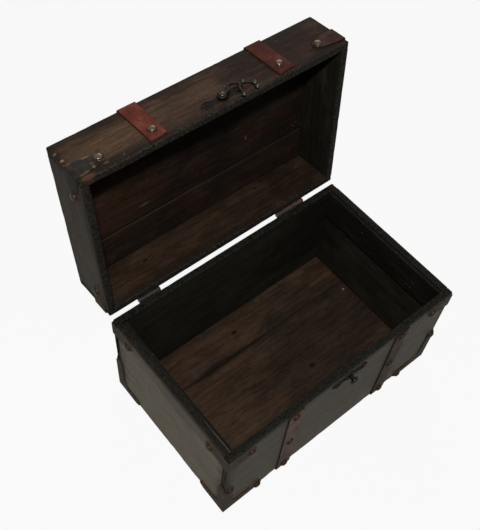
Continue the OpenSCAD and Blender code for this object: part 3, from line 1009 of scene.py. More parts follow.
@dataclass
class Fitting:
    """A part of the box, built to its sizes."""

    sizes: Sizes

    def settle(self, piece: bpy.types.Object, body: Body, node: str | None, slot: str,
               *materials: bpy.types.Material) -> None:
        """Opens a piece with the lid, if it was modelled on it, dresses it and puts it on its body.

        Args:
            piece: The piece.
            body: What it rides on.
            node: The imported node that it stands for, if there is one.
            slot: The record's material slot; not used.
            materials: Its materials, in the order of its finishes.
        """
        if body is Body.LID:
            piece.matrix_world = self.sizes.lid.opened
        for material in materials:
            piece.data.materials.append(material)
        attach(piece, body.value)
        if node:
            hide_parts(node)
        LOG.info("%s rides on %s", piece.name, body.value)


def face_matrix(place: Vector, side: Side) -> Matrix:
    """A frame on a wall, with +Z outward, +X to the right and +Y up as seen from outside.

    Args:
        place: Its origin.
        side: The way that the wall looks.

    Returns:
        The matrix.
    """
    out = side.out
    up = Vector((0, 0, 1)) if abs(out.z) < 0.5 else Vector((0, 1, 0))
    right = up.cross(out)
    turn = Matrix((right, up, out)).transposed().to_4x4()
    return Matrix.Translation(place) @ turn


# ---- boards ----


@dataclass
class Board(Fitting):
    """One board of the carcass, with arrises rounded and nicked by use."""

    node: str
    body: Body
    grain: Grain
    side: Side
    wood: Wood
    seed: int
    arris_r: float = 0.9 * MM
    end_r: float = 0.9 * MM
    nick: float = 0.55 * MM
    ring_step: float = 3.0 * MM
    side_step: float = 9.0 * MM
    long_nick: float = 17.0 * MM
    short_nick: float = 7.0 * MM

    def outline(self, half: tuple[float, float]) -> list[tuple[float, float, float, float, float]]:
        """The rounded rectangle of the board's section.

        Args:
            half: Half of the section's two sides.

        Returns:
            (u, v, normal u, normal v, arris share) for each point.
        """
        r = self.arris_r
        points = []
        for k, (su, sv) in enumerate(((1, 1), (-1, 1), (-1, -1), (1, -1))):
            for i in range(4):
                turn = math.pi / 2 * (k + i / 3)
                nu, nv = math.cos(turn), math.sin(turn)
                points.append((su * (half[0] - r) + r * nu, sv * (half[1] - r) + r * nv, nu, nv, 1.0))
            run = 2 * (half[0] if k % 2 == 0 else half[1])
            count = max(1, int(run / self.side_step))
            u, v, nu, nv, _ = points[-1]
            for i in range(1, count + 1):
                shift = (run - 2 * r) * i / (count + 1)
                du, dv = ((-1, 0), (0, -1), (1, 0), (0, 1))[k]
                points.append((u + du * shift, v + dv * shift, nu, nv, 0.0))
        return points

    def stations(self, low: float, high: float) -> list[tuple[float, float]]:
        """Places along the board, closer together at its rounded ends.

        Args:
            low: Where the board starts.
            high: Where it ends.

        Returns:
            (place, how far the section is drawn in there), from end to end.
        """
        r = self.end_r
        shares = (0.0, 0.1, 0.3, 0.6, 1.0)
        ends = [(share * r, r * (1 - math.sqrt(1 - (1 - share) ** 2))) for share in shares]
        run = high - low - 2 * r
        count = max(2, int(run / self.ring_step))
        inner = [(low + r + run * i / count, 0.0) for i in range(1, count)]
        return ([(low + d, pull) for d, pull in ends] + inner
                + [(high - d, pull) for d, pull in reversed(ends)])

    def nicked(self, place: float, corner: int) -> float:
        """How far an arris is worn back.

        Args:
            place: Distance along the board.
            corner: Which arris.

        Returns:
            The depth, in metres.
        """
        bite = wander(place, corner, self.long_nick) + 0.6 * wander(place, corner + 9, self.short_nick)
        return self.nick * max(0.0, bite - 0.1)

    def build(self) -> None:
        """Makes, dresses and places the board."""
        low, high = self.sizes.box(self.node, self.body)
        axis = self.grain.value
        u_axis, v_axis = [i for i in range(3) if i != axis]
        middle = (low + high) / 2
        outline = self.outline(((high[u_axis] - low[u_axis]) / 2, (high[v_axis] - low[v_axis]) / 2))
        rings = []
        for place, pull in self.stations(low[axis], high[axis]):
            ring = []
            for u, v, nu, nv, arris in outline:
                depth = arris * self.nicked(place, self.seed + 3 * (u > 0) + 5 * (v > 0))
                point = Vector((0, 0, 0))
                point[axis] = place
                point[u_axis] = middle[u_axis] + u - nu * (depth + pull)
                point[v_axis] = middle[v_axis] + v - nv * (depth + pull)
                ring.append((point, arris))
            rings.append(ring)
        skin = Skin()
        skin.sweep(rings)
        piece = skin.piece(f"{self.node}_board", 50.0)
        is_wall = self.node.endswith("wall")
        rim_z = (low.z if self.body is Body.LID else high.z) if is_wall else None
        timber = Timber(f"wood_{self.node}", self.wood, low, high, self.grain, self.seed)
        self.settle(piece, self.body, self.node, "outer_boards" if is_wall else "inner_boards",
                    timber.painted(self.side, rim_z))


@dataclass
class LooseTongue(Fitting):
    """A thin strip let into the edges of two neighbouring boards, which closes the joint between them."""

    front: str
    back: str
    body: Body
    wood: Wood
    seed: int
    lap: float = 2.0 * MM
    thickness: float = 2.2 * MM
    end_gap: float = 0.6 * MM
    arris_r: float = 0.5 * MM

    def build(self) -> None:
        """Makes the strip inside the two boards' thickness."""
        low, high = self.sizes.box(self.front, self.body)
        far = self.sizes.box(self.back, self.body)[0]
        middle = (low.z + high.z) / 2
        first = Vector((low.x + self.end_gap, high.y - self.lap, middle - self.thickness / 2))
        last = Vector((high.x - self.end_gap, far.y + self.lap, middle + self.thickness / 2))
        r = self.arris_r
        section = ((first.y + r, first.z), (last.y - r, first.z),
                   (last.y, first.z + r), (last.y, last.z - r),
                   (last.y - r, last.z), (first.y + r, last.z),
                   (first.y, last.z - r), (first.y, first.z + r))
        skin = Skin()
        skin.sweep([[(Vector((x, y, z)), 0.0) for y, z in section] for x in (first.x, last.x)])
        piece = skin.piece(f"{self.front}_tongue", 30.0)
        timber = Timber(f"wood_{self.front}_tongue", self.wood, first, last, Grain.X, self.seed)
        self.settle(piece, self.body, None, "inner_boards", timber.painted(Side.TOP, None))


# ---- leather ----


@dataclass
class Fold:
    """A line that a leather strip follows over the box: straight runs with rounded turns between them."""

    corners: Sequence[Vector]
    outs: Sequence[Vector]
    turn_r: float = 0.7 * MM
    step: float = 3.0 * MM

    def stations(self) -> list[tuple[float, Vector, Vector]]:
        """Follows the line.

        Returns:
            (distance, place on the wood, outward direction), from end to end.
        """
        found: list[tuple[Vector, Vector]] = []
        for i in range(len(self.corners) - 1):
            start, end = self.corners[i], self.corners[i + 1]
            way = (end - start).normalized()
            run = (end - start).length
            first = 0.0 if i == 0 else self.turn_r
            last = run if i == len(self.corners) - 2 else run - self.turn_r
            count = max(2, int((last - first) / self.step))
            for k in range(count + 1):
                found.append((start + way * (first + (last - first) * k / count), self.outs[i]))
            if i < len(self.corners) - 2:
                out_a, out_b = self.outs[i], self.outs[i + 1]
                centre = end - out_a * self.turn_r - out_b * self.turn_r
                for k in range(1, 5):
                    out = out_a.slerp(out_b, k / 5)
                    found.append((centre + out * self.turn_r, out))
        line = []
        gone = 0.0
        for k, (point, out) in enumerate(found):
            gone += (point - found[k - 1][0]).length if k else 0.0
            line.append((gone, point, out))
        return line


@dataclass
class Strip:
    """A leather strip: its fold, its outline and its cut ends."""

    fold: Fold
    lateral: Vector
    thickness: float
    half_width: Callable[[float, float], float]
    skew: tuple[float, float] = (0.0, 0.0)
    seed: int = 0
    cut: float = 0.45 * MM
    ragged: float = 0.25 * MM
    shoulder: float = 1.6 * MM
    end_run: float = 1.2 * MM
    worn_run: float = 1.5 * MM
    skew_run: float = 20.0 * MM
    ragged_pitch: float = 7.0 * MM
    swell_pitch: float = 16.0 * MM

    def section(self, half: float) -> Profile:
        """The strip's section: skived edges and a flat back.

        Args:
            half: Half of its width.

        Returns:
            (sideways, height share, wear) for each point.
        """
        c = min(self.cut, half * 0.45)
        inner = max(half - self.shoulder, half * 0.5)
        top = [(half, 0.6, 1.0), (half - 0.35 * c, 0.88, 1.0), (half - c, 0.97, 0.8),
               (inner, 1.0, 0.15), (inner * 0.5, 1.0, 0.0)]
        mirrored = [(-u, h, w) for u, h, w in reversed(top)]
        return [(half, 0.0, 1.0)] + top + [(0.0, 1.0, 0.0)] + mirrored + [(-half, 0.0, 1.0), (0.0, 0.0, 0.0)]

    def skin(self) -> Skin:
        """Sweeps the strip along its fold.

        Returns:
            The skin.
        """
        line = self.fold.stations()
        total = line[-1][0]
        rings = []
        for gone, point, out in line:
            along = self.way(line, gone)
            left = total - gone
            end = min(gone, left)
            rough = self.ragged * (0.5 + 0.5 * wander(gone, self.seed, self.ragged_pitch))
            half = max(self.half_width(gone, left) - rough, 0.15 * MM)
            drop = 0.25 * max(0.0, 1 - end / self.end_run)
            slant = self.skew[0] * max(0.0, 1 - gone / self.skew_run)
            slant += self.skew[1] * max(0.0, 1 - left / self.skew_run)
            ring = []
            for sideways, height, wear in self.section(half):
                rise = self.thickness * height
                if height > 0.5:
                    swell = 0.06 * wander(gone + sideways, self.seed + 4, self.swell_pitch)
                    rise *= (1 - drop) * (0.95 + swell)
                place = point + out * rise + self.lateral * sideways + along * slant * sideways
                ring.append((place, max(wear, 1 - end / self.worn_run)))
            rings.append(ring)
        skin = Skin()
        skin.sweep(rings)
        return skin

    @staticmethod
    def way(line: Sequence[tuple[float, Vector, Vector]], gone: float) -> Vector:
        """The strip's direction.

        Args:
            line: The stations of its fold.
            gone: Distance along it.

        Returns:
            The direction there.
        """
        for k in range(len(line) - 1):
            if line[k + 1][0] > gone:
                return (line[k + 1][1] - line[k][1]).normalized()
        return (line[-1][1] - line[-2][1]).normalized()


def even(half: float) -> Callable[[float, float], float]:
    """The width of a strip that is as wide all along."""
    return lambda gone, left: half


@dataclass
class Straps(Fitting):
    """The leather straps of the base and of the lid."""

    thickness: float = 1.6 * MM
    front_inset: float = 2.8 * MM
    back_inset: float = 20.0 * MM
    slant: float = 0.08
    back_slant: float = 0.03
    finishes: dict[str, Leather] = field(default_factory=dict)

    def fold(self, x: float, half: float, body: Body) -> Fold:
        """The line of one strap, from its front end to its back end.

        Args:
            x: The strap's middle.
            half: Half of its width.
            body: The base or the lid.

        Returns:
            The fold.
        """
        front, back = self.sizes.front_y, self.sizes.back_y
        front_inset = self.front_inset + self.slant * half
        back_inset = self.back_inset + self.back_slant * half
        if body is Body.BASE:
            far = self.sizes.under_z
            start, end = self.sizes.rim_z - front_inset, self.sizes.rim_z - back_inset
            turn = Side.UNDER.out
        else:
            far = self.sizes.top_z
            start, end = self.sizes.lid_z + front_inset, self.sizes.lid_z + back_inset
            turn = Side.TOP.out
        corners = [Vector((x, y, z)) for y, z in ((front, start), (front, far), (back, far), (back, end))]
        return Fold(corners, [Side.FRONT.out, turn, Side.BACK.out])

    def build(self) -> None:
        """Makes the four straps."""
        for number, hand in enumerate(("left", "right")):
            for body in (Body.BASE, Body.LID):
                node = f"{body.value}_strap_{hand}"
                low, high = self.sizes.box(node, body)
                half = (high.x - low.x) / 2
                tilt = self.slant if body is Body.LID else -self.slant
                fold = self.fold((low.x + high.x) / 2, half, body)
                strip = Strip(fold, Vector((1, 0, 0)), self.thickness, even(half), (tilt, self.back_slant),
                              seed=11 + 5 * number)
                piece = strip.skin().piece(f"{node}_leather")
                hide = self.finishes[node].material(f"leather_{node}", 3 + number)
                self.settle(piece, body, node, "strap_leather", hide)


@dataclass
class Tongues(Fitting):
    """The leather tongues folded round the rim corners, and the leathers of the bottom corners."""

    thickness: float = 1.2 * MM
    reach: float = 33.0 * MM
    height: float = 19.4 * MM
    tip_half: float = 6.0 * MM
    shoulder: float = 7.6 * MM
    turn_r: float = 0.5 * MM
    step: float = 1.4 * MM
    ragged: float = 0.5 * MM
    foot_r: float = 0.35 * MM
    first_seed: int = 40
    finishes: dict[str, Leather] = field(default_factory=dict)

    def half(self, gone: float, left: float) -> float:
        """Half of the tongue's height.

        Args:
            gone: Distance from its first tip.
            left: Distance from its last tip.

        Returns:
            The half height there.
        """
        d = min(gone, left)
        r = self.tip_half
        if d < r:
            return math.sqrt(max(r * r - (r - d) ** 2, (0.6 * MM) ** 2))
        share = min(1.0, (d - r) / (self.reach - self.shoulder - r)) ** 0.7
        return r + (self.height / 2 - r) * share

    def build(self) -> None:
        """Makes the eight tongues and dresses the four bottom leathers."""
        seed = self.first_seed
        for body in (Body.BASE, Body.LID):
            for depth, sy in (("front", -1), ("back", 1)):
                for hand, sx in (("left", -1), ("right", 1)):
                    seed += 1
                    node = f"{body.value}_tongue_{depth}_{hand}"
                    low, high = self.sizes.box(node, body)
                    corner = Vector((sx * self.sizes.end_x, sy * self.sizes.back_y, (low.z + high.z) / 2))
                    inward = Vector((-sx * self.reach, 0, 0)), Vector((0, -sy * self.reach, 0))
                    fold = Fold([corner + inward[0], corner, corner + inward[1]],
                                [Vector((0, sy, 0)), Vector((sx, 0, 0))], self.turn_r, self.step)
                    strip = Strip(fold, Vector((0, 0, 1)), self.thickness, self.half,
                                  ragged=self.ragged, seed=seed)
                    piece = strip.skin().piece(f"{node}_leather")
                    hide = self.finish(node).material(f"leather_{node}", seed)
                    self.settle(piece, body, node, "corner_leather", hide)
        for depth in ("front", "back"):
            for hand in ("left", "right"):
                seed += 1
                node = f"foot_leather_{depth}_{hand}"
                piece = softened(node, f"{node}_folded", self.foot_r, Matrix.Identity(4))
                hide = self.finish(node).material(f"leather_{node}", seed)
                self.settle(piece, Body.BASE, node, "corner_leather", hide)

    def finish(self, node: str) -> Leather:
        """The leather of one node: its own, or the common one."""
        return self.finishes.get(node, self.finishes["common"])


# ---- nails ----


# A nail's thin turned rim: (share of the radius, height in mm, wear).
NAIL_RIM = ((0.35, -0.25, 0.0), (0.9, -0.15, 0.0), (0.985, 0.05, 0.1),
            (1.0, 0.22, 0.3), (0.975, 0.42, 0.2), (0.94, 0.5, 0.0))
NailPlaces = list[tuple[Vector, Side]]


@dataclass
class NailSet(Fitting):
    """Dome nails that share a node; those of the front may take a lighter metal, a painted sheen, and the
    rest a darker one, painted shade.
    """

    node: str
    body: Body
    places: NailPlaces
    lift: float
    show: Metal
    plain: Metal
    head_r: float = 4.7 * MM
    head_h: float = 3.0 * MM
    seed: int = 0
    lean: float = 1.6
    rim_h: float = 0.5 * MM
    dent: float = 0.16 * MM

    def profile(self) -> Profile:
        """The head's outline: a thin turned rim and a full dome.

        Returns:
            (radius, height, wear) from the rim's back to the crown.
        """
        r = self.head_r
        rim = [(share * r, height * MM, wear) for share, height, wear in NAIL_RIM]
        dome = []
        for i in range(1, 9):
            turn = i / 8 * math.pi / 2
            radius = 0.93 * r * math.cos(turn) ** 0.9
            height = self.rim_h + (self.head_h - self.rim_h) * math.sin(turn) ** 0.95
            dome.append((max(radius, 0.02 * r), height, min(1.0, 0.1 + i / 8)))
        return rim + dome

    def build(self) -> None:
        """Makes the group as one piece of separate heads."""
        rng = random.Random(self.seed)
        skin = Skin()
        for k, (place, side) in enumerate(self.places):
            stand = face_matrix(place + side.out * self.lift, side)
            lean = Matrix.Rotation(math.radians(rng.uniform(-self.lean, self.lean)), 4, "X")
            lean @= Matrix.Rotation(math.radians(rng.uniform(-self.lean, self.lean)), 4, "Y")
            finish = int(side is not Side.FRONT)
            skin.lathe(self.profile(), stand @ lean, 32, self.dent, self.seed + k, finish)
        piece = skin.piece(f"{self.node}_heads")
        self.settle(piece, self.body, self.node, "nail_heads",
                    self.show.material(f"metal_{self.node}_front", self.seed),
                    self.plain.material(f"metal_{self.node}", self.seed + 1))


@dataclass
class Nails(Fitting):
    """Every dome nail of the box."""

    strap_t: float = 1.6 * MM
    corner_t: float = 1.2 * MM
    inset: float = 8.0 * MM
    lid_inset: float = 12.6 * MM
    tongue_in: float = 27.0 * MM
    foot_leg: float = 10.0 * MM
    foot_in: float = 44.0 * MM
    foot_up: float = 54.0 * MM
    first_seed: int = 60
    # The lid's front nails take a lighter, shinier metal, a painted sheen; the other nails take darker ones,
    # painted shade as well as tarnish.
    bright: Metal = Metal(patina=(0.040, 0.029, 0.020), bare=(0.100, 0.077, 0.057), bare_share=0.7,
                          roughness=0.24, metallic=0.7, grazing=0.3, relief=0.26)
    tarnished_and_shaded: Metal = Metal(patina=(0.030, 0.019, 0.012), bare=(0.070, 0.045, 0.029), bare_share=0.45,
                             roughness=0.32, metallic=0.5, gloss=0.1, grazing=0.4, relief=0.3)
    black: Metal = Metal(patina=(0.026, 0.016, 0.010), bare=(0.060, 0.036, 0.023), bare_share=0.5,
                         roughness=0.36, metallic=0.5, gloss=0.08, grazing=0.4, relief=0.4)

    def strap_places(self, straps: Straps) -> tuple[NailPlaces, NailPlaces]:
        """Where the strap nails stand.

        Args:
            straps: The straps that they hold.

        Returns:
            The places on the base and those on the lid.
        """
        base, lid = [], []
        under, rim = self.sizes.under_z, self.sizes.rim_z
        top = rim - straps.front_inset
        heights = (top - self.inset, (top + under) / 2, under + self.inset)
        back_heights = (rim - straps.back_inset - self.inset, under + self.inset)
        for hand in ("left", "right"):
            low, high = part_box(f"base_strap_{hand}")
            x = (low.x + high.x) / 2
            base += [(Vector((x, self.sizes.front_y, z)), Side.FRONT) for z in heights]
            base += [(Vector((x, self.sizes.back_y, z)), Side.BACK) for z in back_heights]
            front_z = self.sizes.lid_z + straps.front_inset + self.lid_inset
            back_z = self.sizes.lid_z + straps.back_inset + self.inset
            lid.append((Vector((x, self.sizes.front_y, front_z)), Side.FRONT))
            lid.append((Vector((x, self.sizes.back_y, back_z)), Side.BACK))
        return base, lid

    def tongue_places(self, body: Body) -> NailPlaces:
        """Where the tongue nails stand.

        Args:
            body: The base or the lid.

        Returns:
            The places, all at one height.
        """
        low, high = self.sizes.box(f"{body.value}_tongue_front_left", body)
        z = (low.z + high.z) / 2
        x, y = self.sizes.end_x - self.tongue_in, self.sizes.back_y - self.tongue_in
        places = []
        for s in (-1, 1):
            places += [(Vector((s * x, self.sizes.front_y, z)), Side.FRONT),
                       (Vector((s * x, self.sizes.back_y, z)), Side.BACK),
                       (Vector((-self.sizes.end_x, s * y, z)), Side.LEFT),
                       (Vector((self.sizes.end_x, s * y, z)), Side.RIGHT)]
        return places

    def foot_places(self) -> NailPlaces:
        """Where the bottom corner nails stand.

        Returns:
            The places.
        """
        mid = self.foot_leg / 2
        low_x, low_z = self.sizes.end_x - self.foot_in, self.sizes.under_z + mid
        high_x, high_z = self.sizes.end_x - mid, self.sizes.under_z + self.foot_up
        places = []
        for y, side in ((self.sizes.front_y, Side.FRONT), (self.sizes.back_y, Side.BACK)):
            for s in (-1, 1):
                places.append((Vector((s * low_x, y, low_z)), side))
                places.append((Vector((s * high_x, y, high_z)), side))
        return places

    def build(self, straps: Straps) -> None:
        """Makes the five groups of nails.

        Args:
            straps: The straps that they hold.
        """
        base, lid = self.strap_places(straps)
        base_tongues = self.tongue_places(Body.BASE)
        lid_tongues = self.tongue_places(Body.LID)
        feet = self.foot_places()
        groups = (
            ("base_strap_nails", Body.BASE, base, self.strap_t, self.black, self.black),
            ("base_tongue_nails", Body.BASE, base_tongues, self.corner_t, self.tarnished_and_shaded, self.tarnished_and_shaded),
            ("foot_leather_nails", Body.BASE, feet, self.corner_t, self.black, self.black),
            ("lid_strap_nails", Body.LID, lid, self.strap_t, self.bright, self.tarnished_and_shaded),
            ("lid_tongue_nails", Body.LID, lid_tongues, self.corner_t, self.bright, self.tarnished_and_shaded),
        )
        for number, (node, body, places, lift, show, plain) in enumerate(groups):
            seed = self.first_seed + number
            NailSet(self.sizes, node, body, places, lift, show, plain, seed=seed).build()


# ---- latch and hinges ----


@dataclass
class Plate:
    """A cast plate of the latch: a bar with a middle lobe, two end lobes and a bead at each tip."""

    thickness: float = 1.0 * MM
    middle_r: float = 6.2 * MM
    lobe_r: float = 5.3 * MM
    pitch: float = 33.0 * MM
    bar_half: float = 2.8 * MM
    bead_r: float = 1.25 * MM
    rim_width: float = 0.9 * MM
    field_share: float = 0.72
    step: float = 0.4 * MM

    @property
    def reach(self) -> float:
        """Distance from the plate's middle to its tips."""
        return self.pitch / 2 + self.lobe_r + 1.6 * self.bead_r

    def half(self, x: float) -> float:
        """Half of the plate's height at a distance from its middle.

        Args:
            x: The distance.

        Returns:
            The half height, never quite nothing.
        """
        bead_at = self.pitch / 2 + self.lobe_r + 0.6 * self.bead_r
        best = self.bar_half if abs(x) < self.pitch / 2 else 0.1 * MM
        rounds = ((0.0, self.middle_r), (self.pitch / 2, self.lobe_r), (bead_at, self.bead_r))
        for centre, radius in rounds:
            away = abs(abs(x) - centre)
            if away < radius:
                best = max(best, math.sqrt(radius * radius - away * away))
        return best

    def section(self, half: float) -> Profile:
        """The plate's section: a raised rim round a sunk field.

        Args:
            half: Half of the plate's height there.

        Returns:
            (across, height, wear) for each point.
        """
        t = self.thickness
        sunk = self.field_share * t
        rim = min(self.rim_width, 0.5 * half)
        upper = [(half, 0.0, 0.2), (half, 0.7 * t, 0.8), (half - 0.3 * rim, t, 1.0),
                 (half - rim, 0.97 * t, 0.9), (half - 1.35 * rim, sunk, 0.0), (0.3 * half, sunk, 0.05)]
        lower = [(-across, height, wear) for across, height, wear in reversed(upper)]
        return upper + lower

    def skin(self, stand: Matrix) -> Skin:
        """Makes the plate.

        Args:
            stand: The wall's frame at the plate's middle.

        Returns:
            The skin.
        """
        count = int(2 * self.reach / self.step)
        rings = []
        for i in range(count + 1):
            x = -self.reach + 2 * self.reach * i / count
            rings.append([(stand @ Vector((x, across, height)), wear)
                          for across, height, wear in self.section(self.half(x))])
        skin = Skin()
        skin.sweep(rings)
        return skin


# The hook's eye: (share of its radius, share of the hook's thickness, wear).
EYE = ((0.6, 0.0, 0.1), (0.95, 0.05, 0.1), (1.0, 0.3, 0.3), (0.99, 0.6, 0.5),
       (0.93, 0.85, 0.9), (0.84, 0.98, 0.7), (0.5, 1.0, 0.0))
# The beads of the hook's ring: (degrees round it, mm past it, radius in mm, crown in mm).
BEADS = ((-25, 1.6, 2.3, 0.9), (12, 1.2, 2.7, 2.0), (93, 0.9, 2.1, 1.4))


@dataclass
class Latch(Fitting):
    """The swinging hook with its plate and rivet on the lid, and the keeper on the base."""

    plate: Plate = field(default_factory=Plate)
    pin_head_h: float = 0.7 * MM
    gap: float = 0.3 * MM
    hook_t: float = 2.2 * MM
    bar: float = 3.2 * MM
    slack: float = 1.0 * MM
    mouth_r: float = 5.6 * MM
    eye_r: float = 4.6 * MM
    arch_r: float = 6.2 * MM
    arch_back: float = 10.9 * MM
    arch_up: float = 5.3 * MM
    lip_back: float = 8.1 * MM
    lip_down: float = 8.3 * MM
    lip_r: float = 2.2 * MM
    lip_crown: float = 1.5 * MM
    rivet_r: float = 1.6 * MM
    rivet_head_r: float = 3.4 * MM
    rivet_head_h: float = 2.0 * MM
    neck_r: float = 2.1 * MM
    knob_r: float = 4.4 * MM
    knob_h: float = 3.4 * MM
    brim: float = 1.0 * MM
    bar_sides: int = 14
    bronze: Metal = Metal(patina=(0.0085, 0.0078, 0.0058), bare=(0.026, 0.022, 0.017), bare_share=0.6,
                          roughness=0.46, metallic=0.6, gloss=0.05, grazing=0.35)
    rubbed: Metal = Metal(patina=(0.020, 0.018, 0.0145), bare=(0.060, 0.053, 0.044), bare_share=0.8,
                          roughness=0.26, metallic=0.75, grazing=0.15, relief=0.2)
    keeper_bronze: Metal = Metal(patina=(0.0060, 0.0060, 0.0048), bare=(0.016, 0.015, 0.0125), bare_share=0.4,
                                 roughness=0.42, metallic=0.9, grazing=0.3, relief=0.3)
    keeper_knob: Metal = Metal(patina=(0.012, 0.012, 0.0098), bare=(0.030, 0.028, 0.024), bare_share=0.6,
                               roughness=0.26, metallic=0.75, grazing=0.15, relief=0.2)

    @property
    def hook_back(self) -> float:
        """How far the hook's back stands off the wood."""
        return self.plate.thickness + self.pin_head_h + self.gap

    @staticmethod
    def domed(radius: float, foot: float, rise: float, edge: float = 0.0) -> Profile:
        """A round head's outline.

        Args:
            radius: The head's radius.
            foot: Height of its underside.
            rise: Height of the dome.
            edge: Height of the straight edge under the dome.

        Returns:
            (radius, height, wear) from the foot up.
        """
        outline = [(0.93 * radius, foot, 0.1)]
        for i in range(9):
            turn = i / 8 * math.pi / 2
            height = foot + edge + rise * math.sin(turn)
            outline.append((max(radius * math.cos(turn), 0.02 * radius), height, 0.25 + 0.75 * i / 8))
        return outline

    def tube(self, skin: Skin, line: Sequence[tuple[Vector, float]], rise: float) -> None:
        """Adds a round-backed bar along a flat line.

        Args:
            skin: Where it goes.
            line: (place, half of the bar's width) along it.
            rise: Height of the bar's middle.
        """
        rings = []
        for k, (point, half) in enumerate(line):
            before, after = line[max(k - 1, 0)][0], line[min(k + 1, len(line) - 1)][0]
            way = (after - before).normalized()
            side = Vector((-way.y, way.x, 0))
            ring = []
            for i in range(self.bar_sides):
                turn = 2 * math.pi * i / self.bar_sides
                out = math.copysign(abs(math.cos(turn)) ** 0.8, math.cos(turn)) * half
                up = math.copysign(abs(math.sin(turn)) ** 0.8, math.sin(turn)) * self.hook_t / 2
                crown = max(0.0, math.sin(turn))
                ring.append((Vector((point.x, point.y, rise)) + side * out + Vector((0, 0, up)), crown))
            rings.append(ring)
        skin.sweep(rings)

    @staticmethod
    def arc(centre: Vector, radius: float, start: float, end: float, widths: tuple[float, float],
            count: int = 26) -> list[tuple[Vector, float]]:
        """A bent line.

        Args:
            centre: The bend's centre.
            radius: Its radius.
            start: Where it starts, in degrees.
            end: Where it ends.
            widths: Half of the bar's width at the start and at the end.
            count: Steps along it.

        Returns:
            (place, half width) along it.
        """
        line = []
        for i in range(count + 1):
            t = i / count
            turn = math.radians(start + (end - start) * t)
            place = centre + radius * Vector((math.cos(turn), math.sin(turn), 0))
            line.append((place, widths[0] + (widths[1] - widths[0]) * t))
        return line

    def bead(self, skin: Skin, place: Vector, radius: float, crown: float) -> None:
        """Adds a round bead on the bar.

        Args:
            skin: Where it goes.
            place: Its middle on the hook's back.
            radius: Its radius.
            crown: How far it stands over the bar's face.
        """
        outline = [(0.8 * radius, 0.0, 0.2), (radius, 0.3 * self.hook_t, 0.4)]
        outline += self.domed(radius, 0.8 * self.hook_t, crown + 0.2 * self.hook_t)[1:]
        skin.lathe(outline, Matrix.Translation(place), 22, finish=1)

    def hook_skin(self, reach: float) -> Skin:
        """The hook along +X from its pivot, with its mouth open to -Y.

        Args:
            reach: Distance from the pivot to the middle of the mouth.

        Returns:
            The skin.
        """
        skin = Skin()
        rise = self.hook_t / 2
        half = self.bar / 2
        ring_r = self.mouth_r + half
        mouth = Vector((reach, 0, 0))
        arch = Vector((reach - self.arch_back, self.arch_up, 0))
        lip = Vector((reach - self.lip_back, -self.lip_down, 0))
        eye = [(share * self.eye_r, height * self.hook_t, wear) for share, height, wear in EYE]
        skin.lathe(eye, Matrix.Identity(4), 30)
        bend = self.arc(arch, self.arch_r, 190, -10, (1.1 * half, 0.95 * half))
        start = bend[0][0]
        stem = [(start * t, half * (1.25 - 0.15 * t)) for t in (0.25, 0.5, 0.75)]
        self.tube(skin, stem + bend, rise)
        ring = self.arc(mouth, ring_r, -25, 195, (0.75 * half, half), 34)
        jaw_start = ring[-1][0]
        jaw = [(jaw_start.lerp(lip, t), half * (1.0 - 0.3 * t)) for t in (0.25, 0.5, 0.75, 1.0)]
        self.tube(skin, ring + jaw, rise)
        self.bead(skin, lip, self.lip_r, self.lip_crown)
        for angle, past, radius, crown in BEADS:
            turn = math.radians(angle)
            place = mouth + (ring_r + past * MM) * Vector((math.cos(turn), math.sin(turn), 0))
            self.bead(skin, place, radius * MM, crown * MM)
        return skin

    def place_of(self, node: str, body: Body) -> Vector:
        """The middle of a latch node on the face of the front wall."""
        low, high = self.sizes.box(node, body)
        return Vector(((low.x + high.x) / 2, self.sizes.front_y, (low.z + high.z) / 2))

    def plate_and_pins(self, name: str, body: Body, finish: Metal, boss: float) -> None:
        """Makes one plate and its two pins.

        Args:
            name: "latch" or "keeper".
            body: What they ride on.
            finish: Their metal.
            boss: Height of the round boss under the hook, or 0.
        """
        stand = face_matrix(self.place_of(f"{name}_plate", body), Side.FRONT)
        plate = self.plate.skin(stand)
        if boss:
            plate.lathe([(self.rivet_head_r, 0.0, 0.0), (self.rivet_head_r, boss, 0.2),
                         (0.5 * self.rivet_head_r, boss, 0.0)], stand, 26)
        low, high = self.sizes.box(f"{name}_pins", body)
        head_r = (high.x - low.x - self.plate.pitch) / 2
        pins = Skin()
        for s in (-1, 1):
            lift = Matrix.Translation((s * self.plate.pitch / 2, 0, 0.6 * self.plate.thickness))
            head = self.domed(head_r, 0.0, self.pin_head_h, 0.4 * self.plate.thickness)
            pins.lathe(head, stand @ lift, 22)
        for skin, part in ((plate, "plate"), (pins, "pins")):
            piece = skin.piece(f"{name}_{part}_cast", 50.0)
            metal = finish.material(f"metal_{name}_{part}", len(part))
            self.settle(piece, body, f"{name}_{part}", "latch_bronze", metal)

    def turned(self, node: str, body: Body, outline: Profile, finish: Metal) -> None:
        """Makes a turned piece on the front wall.

        Args:
            node: The node that it stands for.
            body: What it rides on.
            outline: Its (radius, height, wear) profile.
            finish: Its metal.
        """
        skin = Skin()
        skin.lathe(outline, face_matrix(self.place_of(node, body), Side.FRONT), 30)
        piece = skin.piece(f"{node}_turned", 45.0)
        self.settle(piece, body, node, "latch_bronze", finish.material(f"metal_{node}", 4))

